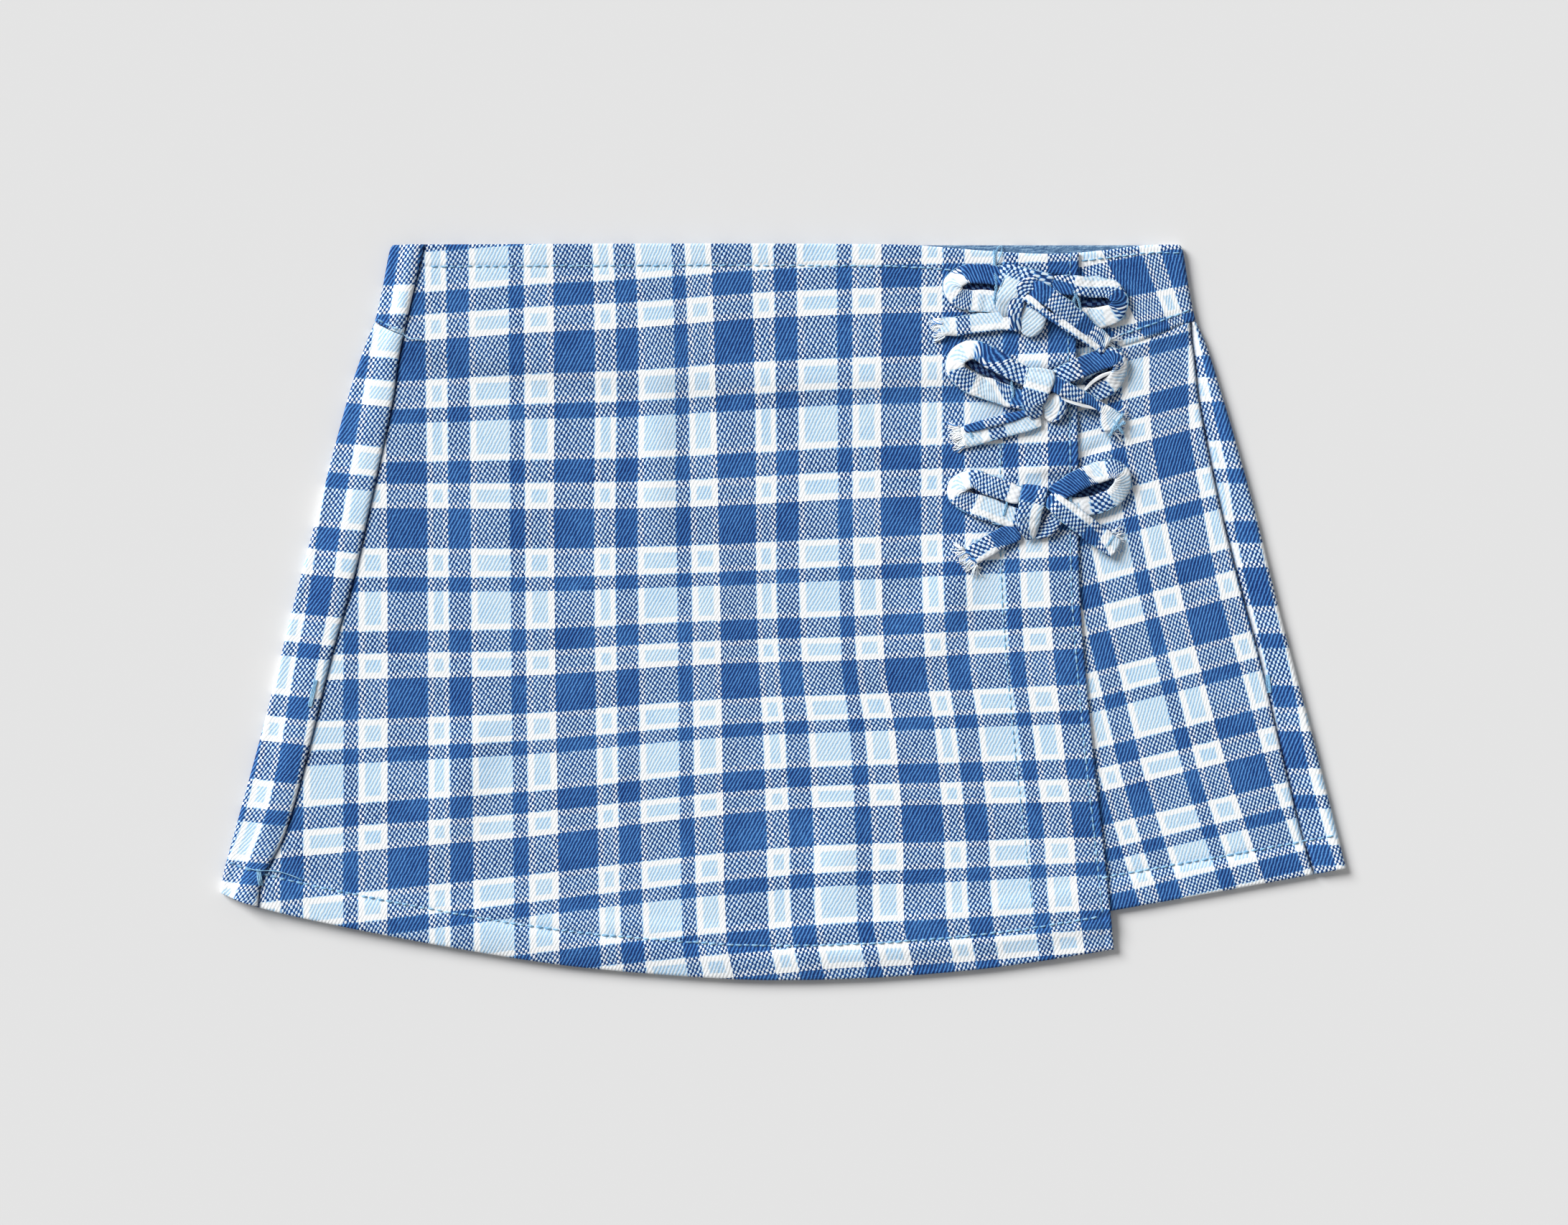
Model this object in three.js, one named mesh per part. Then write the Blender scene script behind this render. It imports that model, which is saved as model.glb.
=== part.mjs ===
import * as THREE from 'three';

// A girl's wrap-front skort, laid flat with its back on the ground and its waist towards +Y.
// All sizes are in millimetres. Left and right are the viewer's, looking down on the front.

// Cloth and layers
const CLOTH = 1.0;
const BAND_CLOTH = 1.6;
const GAP = 0.3;
const HALF_GAP = GAP / 2;

// The curved seams at the waist and the straight-sided facets along them need a little more
const HALF_WAIST_GAP = 0.22;

// Heights of the layers
const FRONT_BOTTOM = CLOTH + GAP;
const FRONT_TOP = FRONT_BOTTOM + CLOTH;
const BAND_FRONT_TOP = BAND_CLOTH + GAP + BAND_CLOTH;

// Outside radius of the side folds, where the cloth turns from back to front
const SIDE_FOLD_RADIUS = 1.6;
const BAND_FOLD_RADIUS = BAND_FRONT_TOP / 2;

// The back cloth that shows at the left lies over the edge of the wrap by this much, and comes
// down from it within this share of its own width
const SEAM_LAP = 2.2;
const LAP_GAP = 0.7;
const STRIP_SLOPE = 0.72;

// The front waistband turns under the right edge by this much
const BAND_TURN_UNDER = 8;

// Turned hems are two layers deep
const HEM_DEPTH = 12;
const HEM_RISE = 0.5;
const HEM_BLEND = 3;

// The wrap climbs onto the waistband over this distance, and droops past the leg hems
const BAND_CLIMB = 11;
const HEM_DROOP = 1.5;
const DROOP_LENGTH = 11;

// Half the gap between the legs at their hems, and where the crotch is
const LEG_PARTING = 3;
const CROTCH_Y = -73;
const LEG_HEM_Y = -121;

// Bow ties, folded from one strip of the check cloth
const TIE_WIDTH = 6.8;
const TIE_THICKNESS = 1.6;
const TIE_EDGE = 0.5;
const TIE_STEPS = 18;

// A knot is a low cushion: how far each level spreads, and its share of the height
const KNOT_HEIGHT = 5.6;
const KNOT_SIDES = 20;
const KNOT_LEVELS = [
  { spread: 0.86, height: 0 },
  { spread: 1, height: 0.22 },
  { spread: 0.97, height: 0.55 },
  { spread: 0.78, height: 0.85 },
  { spread: 0.42, height: 0.98 },
];

// Each point of a panel slides between its side lines and its top and bottom lines until it rests
const SETTLING_PASSES = 8;

const CHECK_BLUE = { color: 0x5f7fb0, roughness: 0.92, metalness: 0 };
const TIE_BLUE = { color: 0x7f9bc4, roughness: 0.92, metalness: 0 };

// Outer edges of the laid garment at heights y, in the flat
const SIDES = [
  { y: 129.4, left: -137.6, right: 140.2 },
  { y: 127, left: -138.6, right: 141.0 },
  { y: 115, left: -140.9, right: 142.9 },
  { y: 103, left: -143.6, right: 145.4 },
  { y: 95, left: -146.8, right: 148.8 },
  { y: 77, left: -152.8, right: 154.6 },
  { y: 39, left: -162.9, right: 165.4 },
  { y: 1, left: -172.8, right: 174.8 },
  { y: -37, left: -182.2, right: 184.9 },
  { y: -75, left: -192.5, right: 194.6 },
  { y: -90.1, left: -196.6, right: 198.4 },
  { y: -98.7, left: -198.4, right: 200.7 },
];

// Side seams, which lie on the front because the back wraps round both edges
const SEAMS = [
  { y: 129.4, left: -126.0, right: 143.0 },
  { y: 101, left: -132.6, right: 143.6 },
  { y: 88, left: -135.3, right: 145.2 },
  { y: 75, left: -137.1, right: 146.6 },
  { y: 39, left: -144.9, right: 153.7 },
  { y: 14, left: -150.5, right: 159.9 },
  { y: -16, left: -158.9, right: 168.0 },
  { y: -47, left: -166.5, right: 175.3 },
  { y: -78, left: -175.2, right: 182.8 },
  { y: -94, left: -183.2, right: 187.7 },
  { y: -104, left: -184.6, right: 190.5 },
];

// Free edge of the wrap
const WRAP_EDGE = [
  { y: 129.4, x: 104.2 },
  { y: 97, x: 103.2 },
  { y: 62, x: 103.9 },
  { y: 6, x: 104.6 },
  { y: -47, x: 109.0 },
  { y: -83, x: 113.0 },
  { y: -118.6, x: 116.6 },
];

// Top of the front, which dips behind the first bow and shows the back waistband
const FRONT_TOP_LINE = [
  { x: -145, y: 129.4 },
  { x: 38, y: 129.4 },
  { x: 75, y: 126.9 },
  { x: 95, y: 126.1 },
  { x: 114, y: 127.6 },
  { x: 128, y: 129.3 },
  { x: 150, y: 129.4 },
];
const BACK_TOP_LINE = [
  { x: -145, y: 129.4 },
  { x: 150, y: 129.4 },
];

// Seam between waistband and legs
const BAND_LINE = [
  { x: -144, y: 102.2 },
  { x: -133, y: 97.2 },
  { x: -110, y: 91.5 },
  { x: -60, y: 86 },
  { x: 0, y: 84 },
  { x: 60, y: 86 },
  { x: 104, y: 90.1 },
  { x: 120, y: 93.6 },
  { x: 143, y: 101.8 },
];

// Hems of the legs and of the wrap
const LEG_HEM = [
  { x: -198.4, y: -98.7 },
  { x: -187, y: -102.8 },
  { x: -150, y: -108.5 },
  { x: -100, y: -114.5 },
  { x: -50, y: -119 },
  { x: 0, y: -121 },
  { x: 60, y: -114.6 },
  { x: 117, y: -104.8 },
  { x: 157, y: -97.7 },
  { x: 198.4, y: -90.1 },
];
const WRAP_HEM = [
  { x: -198.4, y: -98.7 },
  { x: -184.6, y: -103.7 },
  { x: -157, y: -110.1 },
  { x: -116, y: -118 },
  { x: -76, y: -124.3 },
  { x: -35, y: -128 },
  { x: -5, y: -129.4 },
  { x: 35, y: -128.4 },
  { x: 76, y: -124.8 },
  { x: 116.6, y: -118.6 },
];

// Soft ridges of the wrap: centre, direction of the ridge in degrees, half sizes and rise
const WRAP_FOLDS = [
  { x: 92, y: 88, turn: -6, reach: 15, half: 4.5, rise: 1.1 },
  { x: 93, y: 51, turn: 4, reach: 17, half: 5, rise: 1.2 },
  { x: -44, y: 60, turn: 90, reach: 62, half: 11, rise: 0.9 },
  { x: 62, y: 12, turn: 66, reach: 48, half: 13, rise: 0.8 },
  { x: -112, y: -55, turn: 74, reach: 52, half: 14, rise: 0.8 },
  { x: 20, y: -88, turn: 86, reach: 38, half: 13, rise: 0.7 },
];

// Each bow: knot outline, and the middle lines of its ties, z being the height above the wrap
const BOWS = [
  {
    name: 'bow_1',
    knot: [
      { x: 88.2, y: 116.5 }, { x: 94.0, y: 111.2 }, { x: 93.2, y: 103.4 },
      { x: 87.2, y: 96.7 }, { x: 82.8, y: 103.4 }, { x: 82.0, y: 111.6 },
    ],
    loopLeft: [
      { x: 81.0, y: 116.2, z: 0.8 }, { x: 71.3, y: 118.7, z: 0.8 }, { x: 64.7, y: 118.7, z: 0.6 },
      { x: 59.8, y: 114.2, z: 0.4 }, { x: 64.7, y: 109.6, z: 0.4 }, { x: 71.3, y: 109.0, z: 0.5 },
      { x: 80.5, y: 109.2, z: 0.6 },
    ],
    loopRight: [
      { x: 96.0, y: 112.8, z: 1.0 }, { x: 104.2, y: 114.6, z: 0.8 }, { x: 112.0, y: 114.6, z: 0.6 },
      { x: 117.6, y: 109.6, z: 0.4 }, { x: 114.0, y: 103.6, z: 0.2 }, { x: 108.2, y: 101.8, z: 0.1 },
      { x: 102.4, y: 102.6, z: 0.1 },
    ],
    tailLeft: [
      { x: 80.8, y: 101.4, z: 0.8 }, { x: 73.3, y: 101.5, z: 0.6 }, { x: 63.2, y: 100.3, z: 0.3 },
      { x: 53.3, y: 99.2, z: 0.1 },
    ],
    tailRight: [
      { x: 96.2, y: 106.8, z: 2.6 }, { x: 103.7, y: 101.3, z: 2.4 }, { x: 112.8, y: 94.7, z: 1.2 },
    ],
  },
  {
    name: 'bow_2',
    knot: [
      { x: 89.4, y: 86.0 }, { x: 95.1, y: 82.0 }, { x: 95.4, y: 74.4 },
      { x: 92.6, y: 67.8 }, { x: 85.8, y: 69.8 }, { x: 84.4, y: 79.2 },
    ],
    loopLeft: [
      { x: 83.2, y: 82.4, z: 1.4 }, { x: 76.0, y: 87.7, z: 1.6 }, { x: 68.8, y: 91.6, z: 1.0 },
      { x: 61.8, y: 88.4, z: 0.5 }, { x: 65.2, y: 81.2, z: 0.3 }, { x: 72.0, y: 77.6, z: 1.2 },
      { x: 82.8, y: 74.6, z: 2.4 },
    ],
    loopRight: [
      { x: 97.4, y: 80.4, z: 1.2 }, { x: 106.2, y: 86.2, z: 1.2 }, { x: 114.6, y: 87.8, z: 0.8 },
      { x: 119.6, y: 82.8, z: 0.5 }, { x: 113.8, y: 76.8, z: 0.3 }, { x: 106.2, y: 75.6, z: 0.3 },
      { x: 98.2, y: 76.0, z: 0.3 },
    ],
    tailLeft: [
      { x: 83.4, y: 68.8, z: 0.1 }, { x: 74.6, y: 66.1, z: 0.1 }, { x: 61.6, y: 62.5, z: 0.1 },
    ],
    tailRight: [
      { x: 97.0, y: 72.0, z: 2.4 }, { x: 105.2, y: 69.9, z: 2.3 }, { x: 116.3, y: 66.0, z: 0.6 },
    ],
  },
  {
    name: 'bow_3',
    knot: [
      { x: 88.5, y: 44.8 }, { x: 94.0, y: 41.2 }, { x: 93.4, y: 33.8 },
      { x: 88.2, y: 25.6 }, { x: 82.7, y: 29.2 }, { x: 82.0, y: 38.7 },
    ],
    loopLeft: [
      { x: 80.6, y: 41.8, z: 1.4 }, { x: 73.8, y: 44.1, z: 1.4 }, { x: 67.2, y: 46.2, z: 0.9 },
      { x: 61.6, y: 42.2, z: 0.4 }, { x: 66.2, y: 37.2, z: 0.3 }, { x: 71.8, y: 35.2, z: 1.2 },
      { x: 80.3, y: 33.0, z: 2.4 },
    ],
    loopRight: [
      { x: 96.0, y: 41.4, z: 1.2 }, { x: 104.2, y: 47.4, z: 1.2 }, { x: 112.5, y: 50.8, z: 0.8 },
      { x: 118.6, y: 46.6, z: 0.5 }, { x: 113.0, y: 39.6, z: 0.3 }, { x: 105.4, y: 37.4, z: 0.2 },
      { x: 99.4, y: 38.0, z: 0.2 },
    ],
    tailLeft: [
      { x: 81.0, y: 27.4, z: 0.1 }, { x: 74.8, y: 24.6, z: 0.1 }, { x: 64.7, y: 19.2, z: 0.1 },
    ],
    tailRight: [
      { x: 96.2, y: 35.8, z: 2.6 }, { x: 104.9, y: 30.6, z: 2.4 }, { x: 115.3, y: 23.3, z: 0.8 },
    ],
  },
];

const clamp01 = (value) => Math.min(1, Math.max(0, value));

const smooth = (value) => {
  const part = clamp01(value);
  return part * part * (3 - 2 * part);
};

const mix = (from, to, part) => from + (to - from) * part;

// A smooth curve through a table's rows, one column against another, straight past both ends
function curve(table, key, value) {
  const rows = [...table].sort((one, other) => one[key] - other[key]);
  const last = rows.length - 1;
  const tangents = rows.map((row, index) => {
    const before = rows[Math.max(0, index - 1)];
    const after = rows[Math.min(last, index + 1)];
    return (after[value] - before[value]) / (after[key] - before[key]);
  });
  return (at) => {
    if (at <= rows[0][key]) return rows[0][value] + tangents[0] * (at - rows[0][key]);
    if (at >= rows[last][key]) return rows[last][value] + tangents[last] * (at - rows[last][key]);
    const index = rows.findIndex((row) => at < row[key]) - 1;
    const span = rows[index + 1][key] - rows[index][key];
    const part = (at - rows[index][key]) / span;
    const square = part * part;
    const cube = square * part;
    return (2 * cube - 3 * square + 1) * rows[index][value]
      + (cube - 2 * square + part) * span * tangents[index]
      + (3 * square - 2 * cube) * rows[index + 1][value]
      + (cube - square) * span * tangents[index + 1];
  };
}

const leftSide = curve(SIDES, 'y', 'left');
const rightSide = curve(SIDES, 'y', 'right');
const leftSeam = curve(SEAMS, 'y', 'left');
const rightSeam = curve(SEAMS, 'y', 'right');
const wrapEdge = curve(WRAP_EDGE, 'y', 'x');
const frontTopLine = curve(FRONT_TOP_LINE, 'x', 'y');
const backTopLine = curve(BACK_TOP_LINE, 'x', 'y');
const bandLine = curve(BAND_LINE, 'x', 'y');
const legHem = curve(LEG_HEM, 'x', 'y');
const wrapHem = curve(WRAP_HEM, 'x', 'y');

// Half the width left free at the middle: a seam above the crotch, the gap between the legs below
const legInner = (y) => mix(HALF_GAP, LEG_PARTING, clamp01((CROTCH_Y - y) / (CROTCH_Y - LEG_HEM_Y)));

// How far into its turned hem a point is, 1 inside the hem and 0 above it
const inHem = (y, hem) => smooth((hem + HEM_DEPTH - y) / HEM_BLEND);

function ridgeHeight(folds, x, y) {
  let height = 0;
  for (const fold of folds) {
    const turn = THREE.MathUtils.degToRad(fold.turn);
    const alongRidge = ((x - fold.x) * Math.cos(turn) + (y - fold.y) * Math.sin(turn)) / fold.reach;
    const acrossRidge = ((y - fold.y) * Math.cos(turn) - (x - fold.x) * Math.sin(turn)) / fold.half;
    height += fold.rise * smooth(1 - Math.abs(alongRidge)) * smooth(1 - Math.abs(acrossRidge));
  }
  return height;
}

const frontTop = (x, y) => FRONT_TOP + HEM_RISE * inHem(y, legHem(x));

// Underside of the wrap: over the legs, up onto the waistband, and down past the leg hems
function wrapBottom(x, y) {
  const ontoBand = smooth(1 - (bandLine(x) - HALF_WAIST_GAP - y) / BAND_CLIMB);
  const past = smooth((legHem(x) - y) / DROOP_LENGTH);
  const bed = mix(frontTop(x, y), BAND_FRONT_TOP, ontoBand);
  return bed + GAP - HEM_DROOP * past + ridgeHeight(WRAP_FOLDS, x, y);
}

const wrapTop = (x, y) => wrapBottom(x, y) + CLOTH + HEM_RISE * inHem(y, wrapHem(x));

const highestWrap = (places) => Math.max(...places.map((place) => wrapTop(place.x, place.y)));

// One closed wall from a grid of outer points and the matching inner points
function wall(name, columns, rows, outerPoint, innerPoint, finish) {
  const positions = [];
  for (const place of [outerPoint, innerPoint]) {
    for (let row = 0; row <= rows; row += 1) {
      for (let column = 0; column <= columns; column += 1) {
        positions.push(...place(column / columns, row / rows));
      }
    }
  }
  const width = columns + 1;
  const layer = width * (rows + 1);
  const triangles = [];
  const quad = (a, b, c, d) => triangles.push(a, b, c, a, c, d);
  for (let row = 0; row < rows; row += 1) {
    for (let column = 0; column < columns; column += 1) {
      const a = row * width + column;
      quad(a, a + 1, a + 1 + width, a + width);
      quad(layer + a, layer + a + width, layer + a + 1 + width, layer + a + 1);
    }
  }
  for (let column = 0; column < columns; column += 1) {
    const low = column;
    const high = rows * width + column;
    quad(low, layer + low, layer + low + 1, low + 1);
    quad(high, high + 1, layer + high + 1, layer + high);
  }
  for (let row = 0; row < rows; row += 1) {
    const near = row * width;
    const far = near + columns;
    quad(near, near + width, layer + near + width, layer + near);
    quad(far, layer + far, layer + far + width, far + width);
  }
  return solid(name, positions, triangles, finish);
}

// A mesh whose faces point out, whichever way its grid ran
function solid(name, positions, triangles, finish) {
  const corner = (index) => new THREE.Vector3().fromArray(positions, index * 3);
  let volume = 0;
  for (let index = 0; index < triangles.length; index += 3) {
    const [a, b, c] = triangles.slice(index, index + 3).map(corner);
    volume += a.dot(b.cross(c));
  }
  if (volume < 0) triangles.reverse();
  const geometry = new THREE.BufferGeometry();
  geometry.setAttribute('position', new THREE.Float32BufferAttribute(positions, 3));
  geometry.setIndex(triangles);
  geometry.computeVertexNormals();
  const mesh = new THREE.Mesh(geometry, new THREE.MeshStandardMaterial(finish));
  mesh.name = name;
  return mesh;
}

// A flat panel between two side lines given for a height y, and two lines given for a place x
function flatPanel(name, size, edges, bottomOf, topOf, finish) {
  const place = (across, up, heightOf) => {
    let y = mix(edges.low(0), edges.high(0), up);
    let x = 0;
    for (let pass = 0; pass < SETTLING_PASSES; pass += 1) {
      x = mix(edges.left(y), edges.right(y), across);
      y = mix(edges.low(x), edges.high(x), up);
    }
    return [x, y, heightOf(x, y)];
  };
  const outer = (across, up) => place(across, up, topOf);
  const inner = (across, up) => place(across, up, bottomOf);
  return wall(name, size.columns, size.rows, outer, inner, finish);
}

// A panel that lies on the ground from a first line out to the garment's side, turns over
// there, and comes back on top to a last line. side is -1 for the left edge and 1 for the right.
function foldedPanel(name, size, side, lines, thickness, radius, overTop, finish) {
  const sideLine = side < 0 ? leftSide : rightSide;
  const { under, turn, over } = size;
  const columns = under + turn + over;
  const section = (column, y) => {
    const centre = sideLine(y) - side * radius;
    if (column <= under) {
      const x = mix(lines.first(y), centre, column / under);
      return { x, z: 0, outX: 0, outZ: -1 };
    }
    if (column <= under + turn) {
      const angle = Math.PI * (column - under) / turn;
      const outX = side * Math.sin(angle);
      const outZ = -Math.cos(angle);
      return { x: centre + radius * outX, z: radius + radius * outZ, outX, outZ };
    }
    const part = (column - under - turn) / over;
    const x = mix(centre, lines.last(y), part);
    return { x, z: mix(2 * radius, overTop(x, y), smooth(part / STRIP_SLOPE)), outX: 0, outZ: 1 };
  };
  const place = (across, up, depth) => {
    const column = Math.round(across * columns);
    let y = mix(lines.low(sideLine(0)), lines.high(sideLine(0)), up);
    let point = section(column, y);
    for (let pass = 0; pass < SETTLING_PASSES; pass += 1) {
      y = mix(lines.low(point.x), lines.high(point.x), up);
      point = section(column, y);
    }
    return [point.x - depth * point.outX, y, point.z - depth * point.outZ];
  };
  const outer = (across, up) => place(across, up, 0);
  const inner = (across, up) => place(across, up, thickness);
  return wall(name, columns, size.rows, outer, inner, finish);
}

// A flat tie along a smooth line, its section a low six-sided strip that clears the wrap
function tie(name, rows) {
  const line = new THREE.CatmullRomCurve3(
    rows.map((row) => new THREE.Vector3(row.x, row.y, row.z)),
    false,
    'centripetal',
  );
  const half = TIE_WIDTH / 2;
  const section = [
    { across: -half, up: TIE_THICKNESS / 2 },
    { across: -half + TIE_EDGE, up: 0 },
    { across: half - TIE_EDGE, up: 0 },
    { across: half, up: TIE_THICKNESS / 2 },
    { across: half - TIE_EDGE, up: TIE_THICKNESS },
    { across: -half + TIE_EDGE, up: TIE_THICKNESS },
  ];
  const sides = section.length;
  const positions = [];
  for (let step = 0; step <= TIE_STEPS; step += 1) {
    const centre = line.getPointAt(step / TIE_STEPS);
    const ahead = line.getTangentAt(step / TIE_STEPS);
    const flat = Math.hypot(ahead.x, ahead.y);
    const places = section.map((corner) => ({
      x: centre.x - ahead.y / flat * corner.across,
      y: centre.y + ahead.x / flat * corner.across,
    }));
    const bed = highestWrap(places) + GAP + centre.z;
    section.forEach((corner, side) => positions.push(places[side].x, places[side].y, bed + corner.up));
  }
  const triangles = [];
  for (let step = 0; step < TIE_STEPS; step += 1) {
    for (let side = 0; side < sides; side += 1) {
      const a = step * sides + side;
      const b = step * sides + (side + 1) % sides;
      triangles.push(a, b, b + sides, a, b + sides, a + sides);
    }
  }
  const end = TIE_STEPS * sides;
  for (let side = 1; side < sides - 1; side += 1) {
    triangles.push(0, side + 1, side);
    triangles.push(end, end + side, end + side + 1);
  }
  return solid(name, positions, triangles, TIE_BLUE);
}

// The knot stands on a smooth outline and is pulled in towards its top
function knot(name, rows) {
  const outline = new THREE.CatmullRomCurve3(
    rows.map((row) => new THREE.Vector3(row.x, row.y, 0)),
    true,
    'centripetal',
  );
  const ring = outline.getSpacedPoints(KNOT_SIDES).slice(0, KNOT_SIDES);
  const middle = new THREE.Vector3();
  ring.forEach((point) => middle.addScaledVector(point, 1 / KNOT_SIDES));
  const bed = highestWrap(ring) + GAP;
  const positions = [];
  for (const level of KNOT_LEVELS) {
    for (const point of ring) {
      const at = middle.clone().lerp(point, level.spread);
      positions.push(at.x, at.y, bed + level.height * KNOT_HEIGHT);
    }
  }
  const foot = KNOT_LEVELS.length * KNOT_SIDES;
  const crown = foot + 1;
  positions.push(middle.x, middle.y, bed);
  positions.push(middle.x, middle.y, bed + KNOT_HEIGHT);
  const triangles = [];
  for (let side = 0; side < KNOT_SIDES; side += 1) {
    const next = (side + 1) % KNOT_SIDES;
    triangles.push(foot, next, side);
    for (let level = 0; level < KNOT_LEVELS.length - 1; level += 1) {
      const a = level * KNOT_SIDES + side;
      const b = level * KNOT_SIDES + next;
      triangles.push(a, b, b + KNOT_SIDES, a, b + KNOT_SIDES, a + KNOT_SIDES);
    }
    const last = (KNOT_LEVELS.length - 1) * KNOT_SIDES;
    triangles.push(crown, last + side, last + next);
  }
  return solid(name, positions, triangles, TIE_BLUE);
}

function makeBacks() {
  const legLines = (inner, seam) => ({
    first: inner,
    last: seam,
    low: legHem,
    high: (x) => bandLine(x) - HALF_WAIST_GAP,
  });
  const left = foldedPanel(
    'back_panel_left', { under: 9, turn: 4, over: 4, rows: 18 }, -1,
    legLines((y) => -legInner(y), leftSeam),
    CLOTH, SIDE_FOLD_RADIUS, (x, y) => wrapTop(x, y) + LAP_GAP + CLOTH, CHECK_BLUE,
  );
  const right = foldedPanel(
    'back_panel_right', { under: 9, turn: 4, over: 4, rows: 16 }, 1,
    legLines(legInner, (y) => rightSeam(y) + HALF_GAP),
    CLOTH, SIDE_FOLD_RADIUS, frontTop, CHECK_BLUE,
  );
  return [left, right];
}

function makeFronts() {
  const bottom = () => FRONT_BOTTOM;
  const lines = { low: legHem, high: (x) => bandLine(x) - HALF_WAIST_GAP };
  const left = flatPanel(
    'front_panel_left', { columns: 12, rows: 12 },
    { ...lines, left: (y) => leftSeam(y) - SEAM_LAP, right: (y) => -legInner(y) },
    bottom, frontTop, CHECK_BLUE,
  );
  const right = flatPanel(
    'front_panel_right', { columns: 14, rows: 16 },
    { ...lines, left: legInner, right: (y) => rightSeam(y) - HALF_GAP },
    bottom, frontTop, CHECK_BLUE,
  );
  return [left, right];
}

function makeWaistbands() {
  const turnUnder = (y) => rightSide(y) - BAND_TURN_UNDER;
  const back = foldedPanel(
    'waistband_back', { under: 24, turn: 4, over: 3, rows: 3 }, -1,
    {
      first: (y) => turnUnder(y) - HALF_GAP,
      last: leftSeam,
      low: (x) => bandLine(x) + HALF_WAIST_GAP,
      high: backTopLine,
    },
    BAND_CLOTH, BAND_FOLD_RADIUS, (x, y) => wrapTop(x, y) + GAP + BAND_CLOTH, CHECK_BLUE,
  );
  const front = foldedPanel(
    'waistband_front', { under: 2, turn: 4, over: 26, rows: 3 }, 1,
    {
      first: (y) => turnUnder(y) + HALF_GAP,
      last: (y) => leftSeam(y) - SEAM_LAP,
      low: (x) => bandLine(x) + HALF_WAIST_GAP,
      high: frontTopLine,
    },
    BAND_CLOTH, BAND_FOLD_RADIUS, () => BAND_FRONT_TOP, CHECK_BLUE,
  );
  return [back, front];
}

function makeWrap() {
  const edges = {
    left: (y) => leftSeam(y) - SEAM_LAP,
    right: wrapEdge,
    low: wrapHem,
    high: frontTopLine,
  };
  return flatPanel('wrap_panel', { columns: 30, rows: 32 }, edges, wrapBottom, wrapTop, CHECK_BLUE);
}

function makeBow(bow) {
  return [
    knot(`${bow.name}_knot`, bow.knot),
    tie(`${bow.name}_loop_left`, bow.loopLeft),
    tie(`${bow.name}_loop_right`, bow.loopRight),
    tie(`${bow.name}_tail_left`, bow.tailLeft),
    tie(`${bow.name}_tail_right`, bow.tailRight),
  ];
}

const skort = new THREE.Group();
skort.add(...makeBacks());
skort.add(...makeFronts());
skort.add(...makeWaistbands());
skort.add(makeWrap());
for (const bow of BOWS) {
  skort.add(...makeBow(bow));
}

export default skort;
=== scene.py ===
import math

import bpy
import numpy as np
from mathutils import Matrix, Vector
from mathutils.bvhtree import BVHTree


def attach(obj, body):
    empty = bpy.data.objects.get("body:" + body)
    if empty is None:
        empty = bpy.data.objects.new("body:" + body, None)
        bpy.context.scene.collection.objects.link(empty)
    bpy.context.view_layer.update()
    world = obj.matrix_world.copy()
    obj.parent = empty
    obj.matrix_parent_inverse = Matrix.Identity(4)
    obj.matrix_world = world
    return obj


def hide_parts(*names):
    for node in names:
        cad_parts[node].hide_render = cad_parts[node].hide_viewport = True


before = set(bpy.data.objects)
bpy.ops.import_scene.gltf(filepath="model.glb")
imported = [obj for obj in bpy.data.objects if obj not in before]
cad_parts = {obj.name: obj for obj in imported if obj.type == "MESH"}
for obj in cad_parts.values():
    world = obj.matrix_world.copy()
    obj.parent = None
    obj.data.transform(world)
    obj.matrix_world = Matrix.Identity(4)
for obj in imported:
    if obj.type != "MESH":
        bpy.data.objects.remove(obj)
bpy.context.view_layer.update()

# A wrap-front skort in indigo and white check twill, laid flat and seen from straight above.
# Sizes are in millimetres until a mesh is made. Left and right are the viewer's.
MM = 0.001

# Camera: how much of the ground the picture takes in, seen through a 100 mm lens
VIEW_WIDTH = 552.9
VIEW_CENTRE_X = 0.4
LENS = 100.0
SENSOR = 36.0

# Cloth and layers. Only the gaps at the waist seam and under the left side strip are narrower than
# in the solids.
CLOTH = 1.0
BAND_CLOTH = 1.6
GAP = 0.3
HALF_GAP = 0.15
HALF_WAIST_GAP = 0.1
FRONT_BOTTOM = CLOTH + GAP
FRONT_TOP = FRONT_BOTTOM + CLOTH
BAND_FRONT_TOP = BAND_CLOTH + GAP + BAND_CLOTH
SIDE_FOLD_RADIUS = 1.6
BAND_FOLD_RADIUS = BAND_FRONT_TOP / 2
SEAM_LAP = 2.2
LAP_GAP = 0.35
STRIP_SLOPE = 0.72
BAND_TURN_UNDER = 8.0
HEM_DEPTH = 12.0
HEM_RISE = 0.5
HEM_BLEND = 3.0
BAND_CLIMB = 11.0
HEM_DROOP = 1.5
DROOP_LENGTH = 11.0
LEG_PARTING = 3.0
CROTCH_Y = -73.0
LEG_HEM_Y = -121.0

# Stitching: distance of each line from its edge, and the thread
HEM_STITCH = 12.3
EDGE_STITCH = 2.9
FACING_WIDTH = 27.5
TOP_STITCH = 7.8
STITCH_PITCH = 3.0
STITCH_LENGTH = 2.3
THREAD_RADIUS = 0.34
BAND_STITCH = 4.4
STRIP_STITCH = 1.4
# The wrap's top stitching sinks away from the edge behind the first bow: x, distance
TOP_STITCH_LINE = [(-126.0, TOP_STITCH), (56.0, TOP_STITCH), (80.0, 8.6), (101.0, 9.6)]

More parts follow.
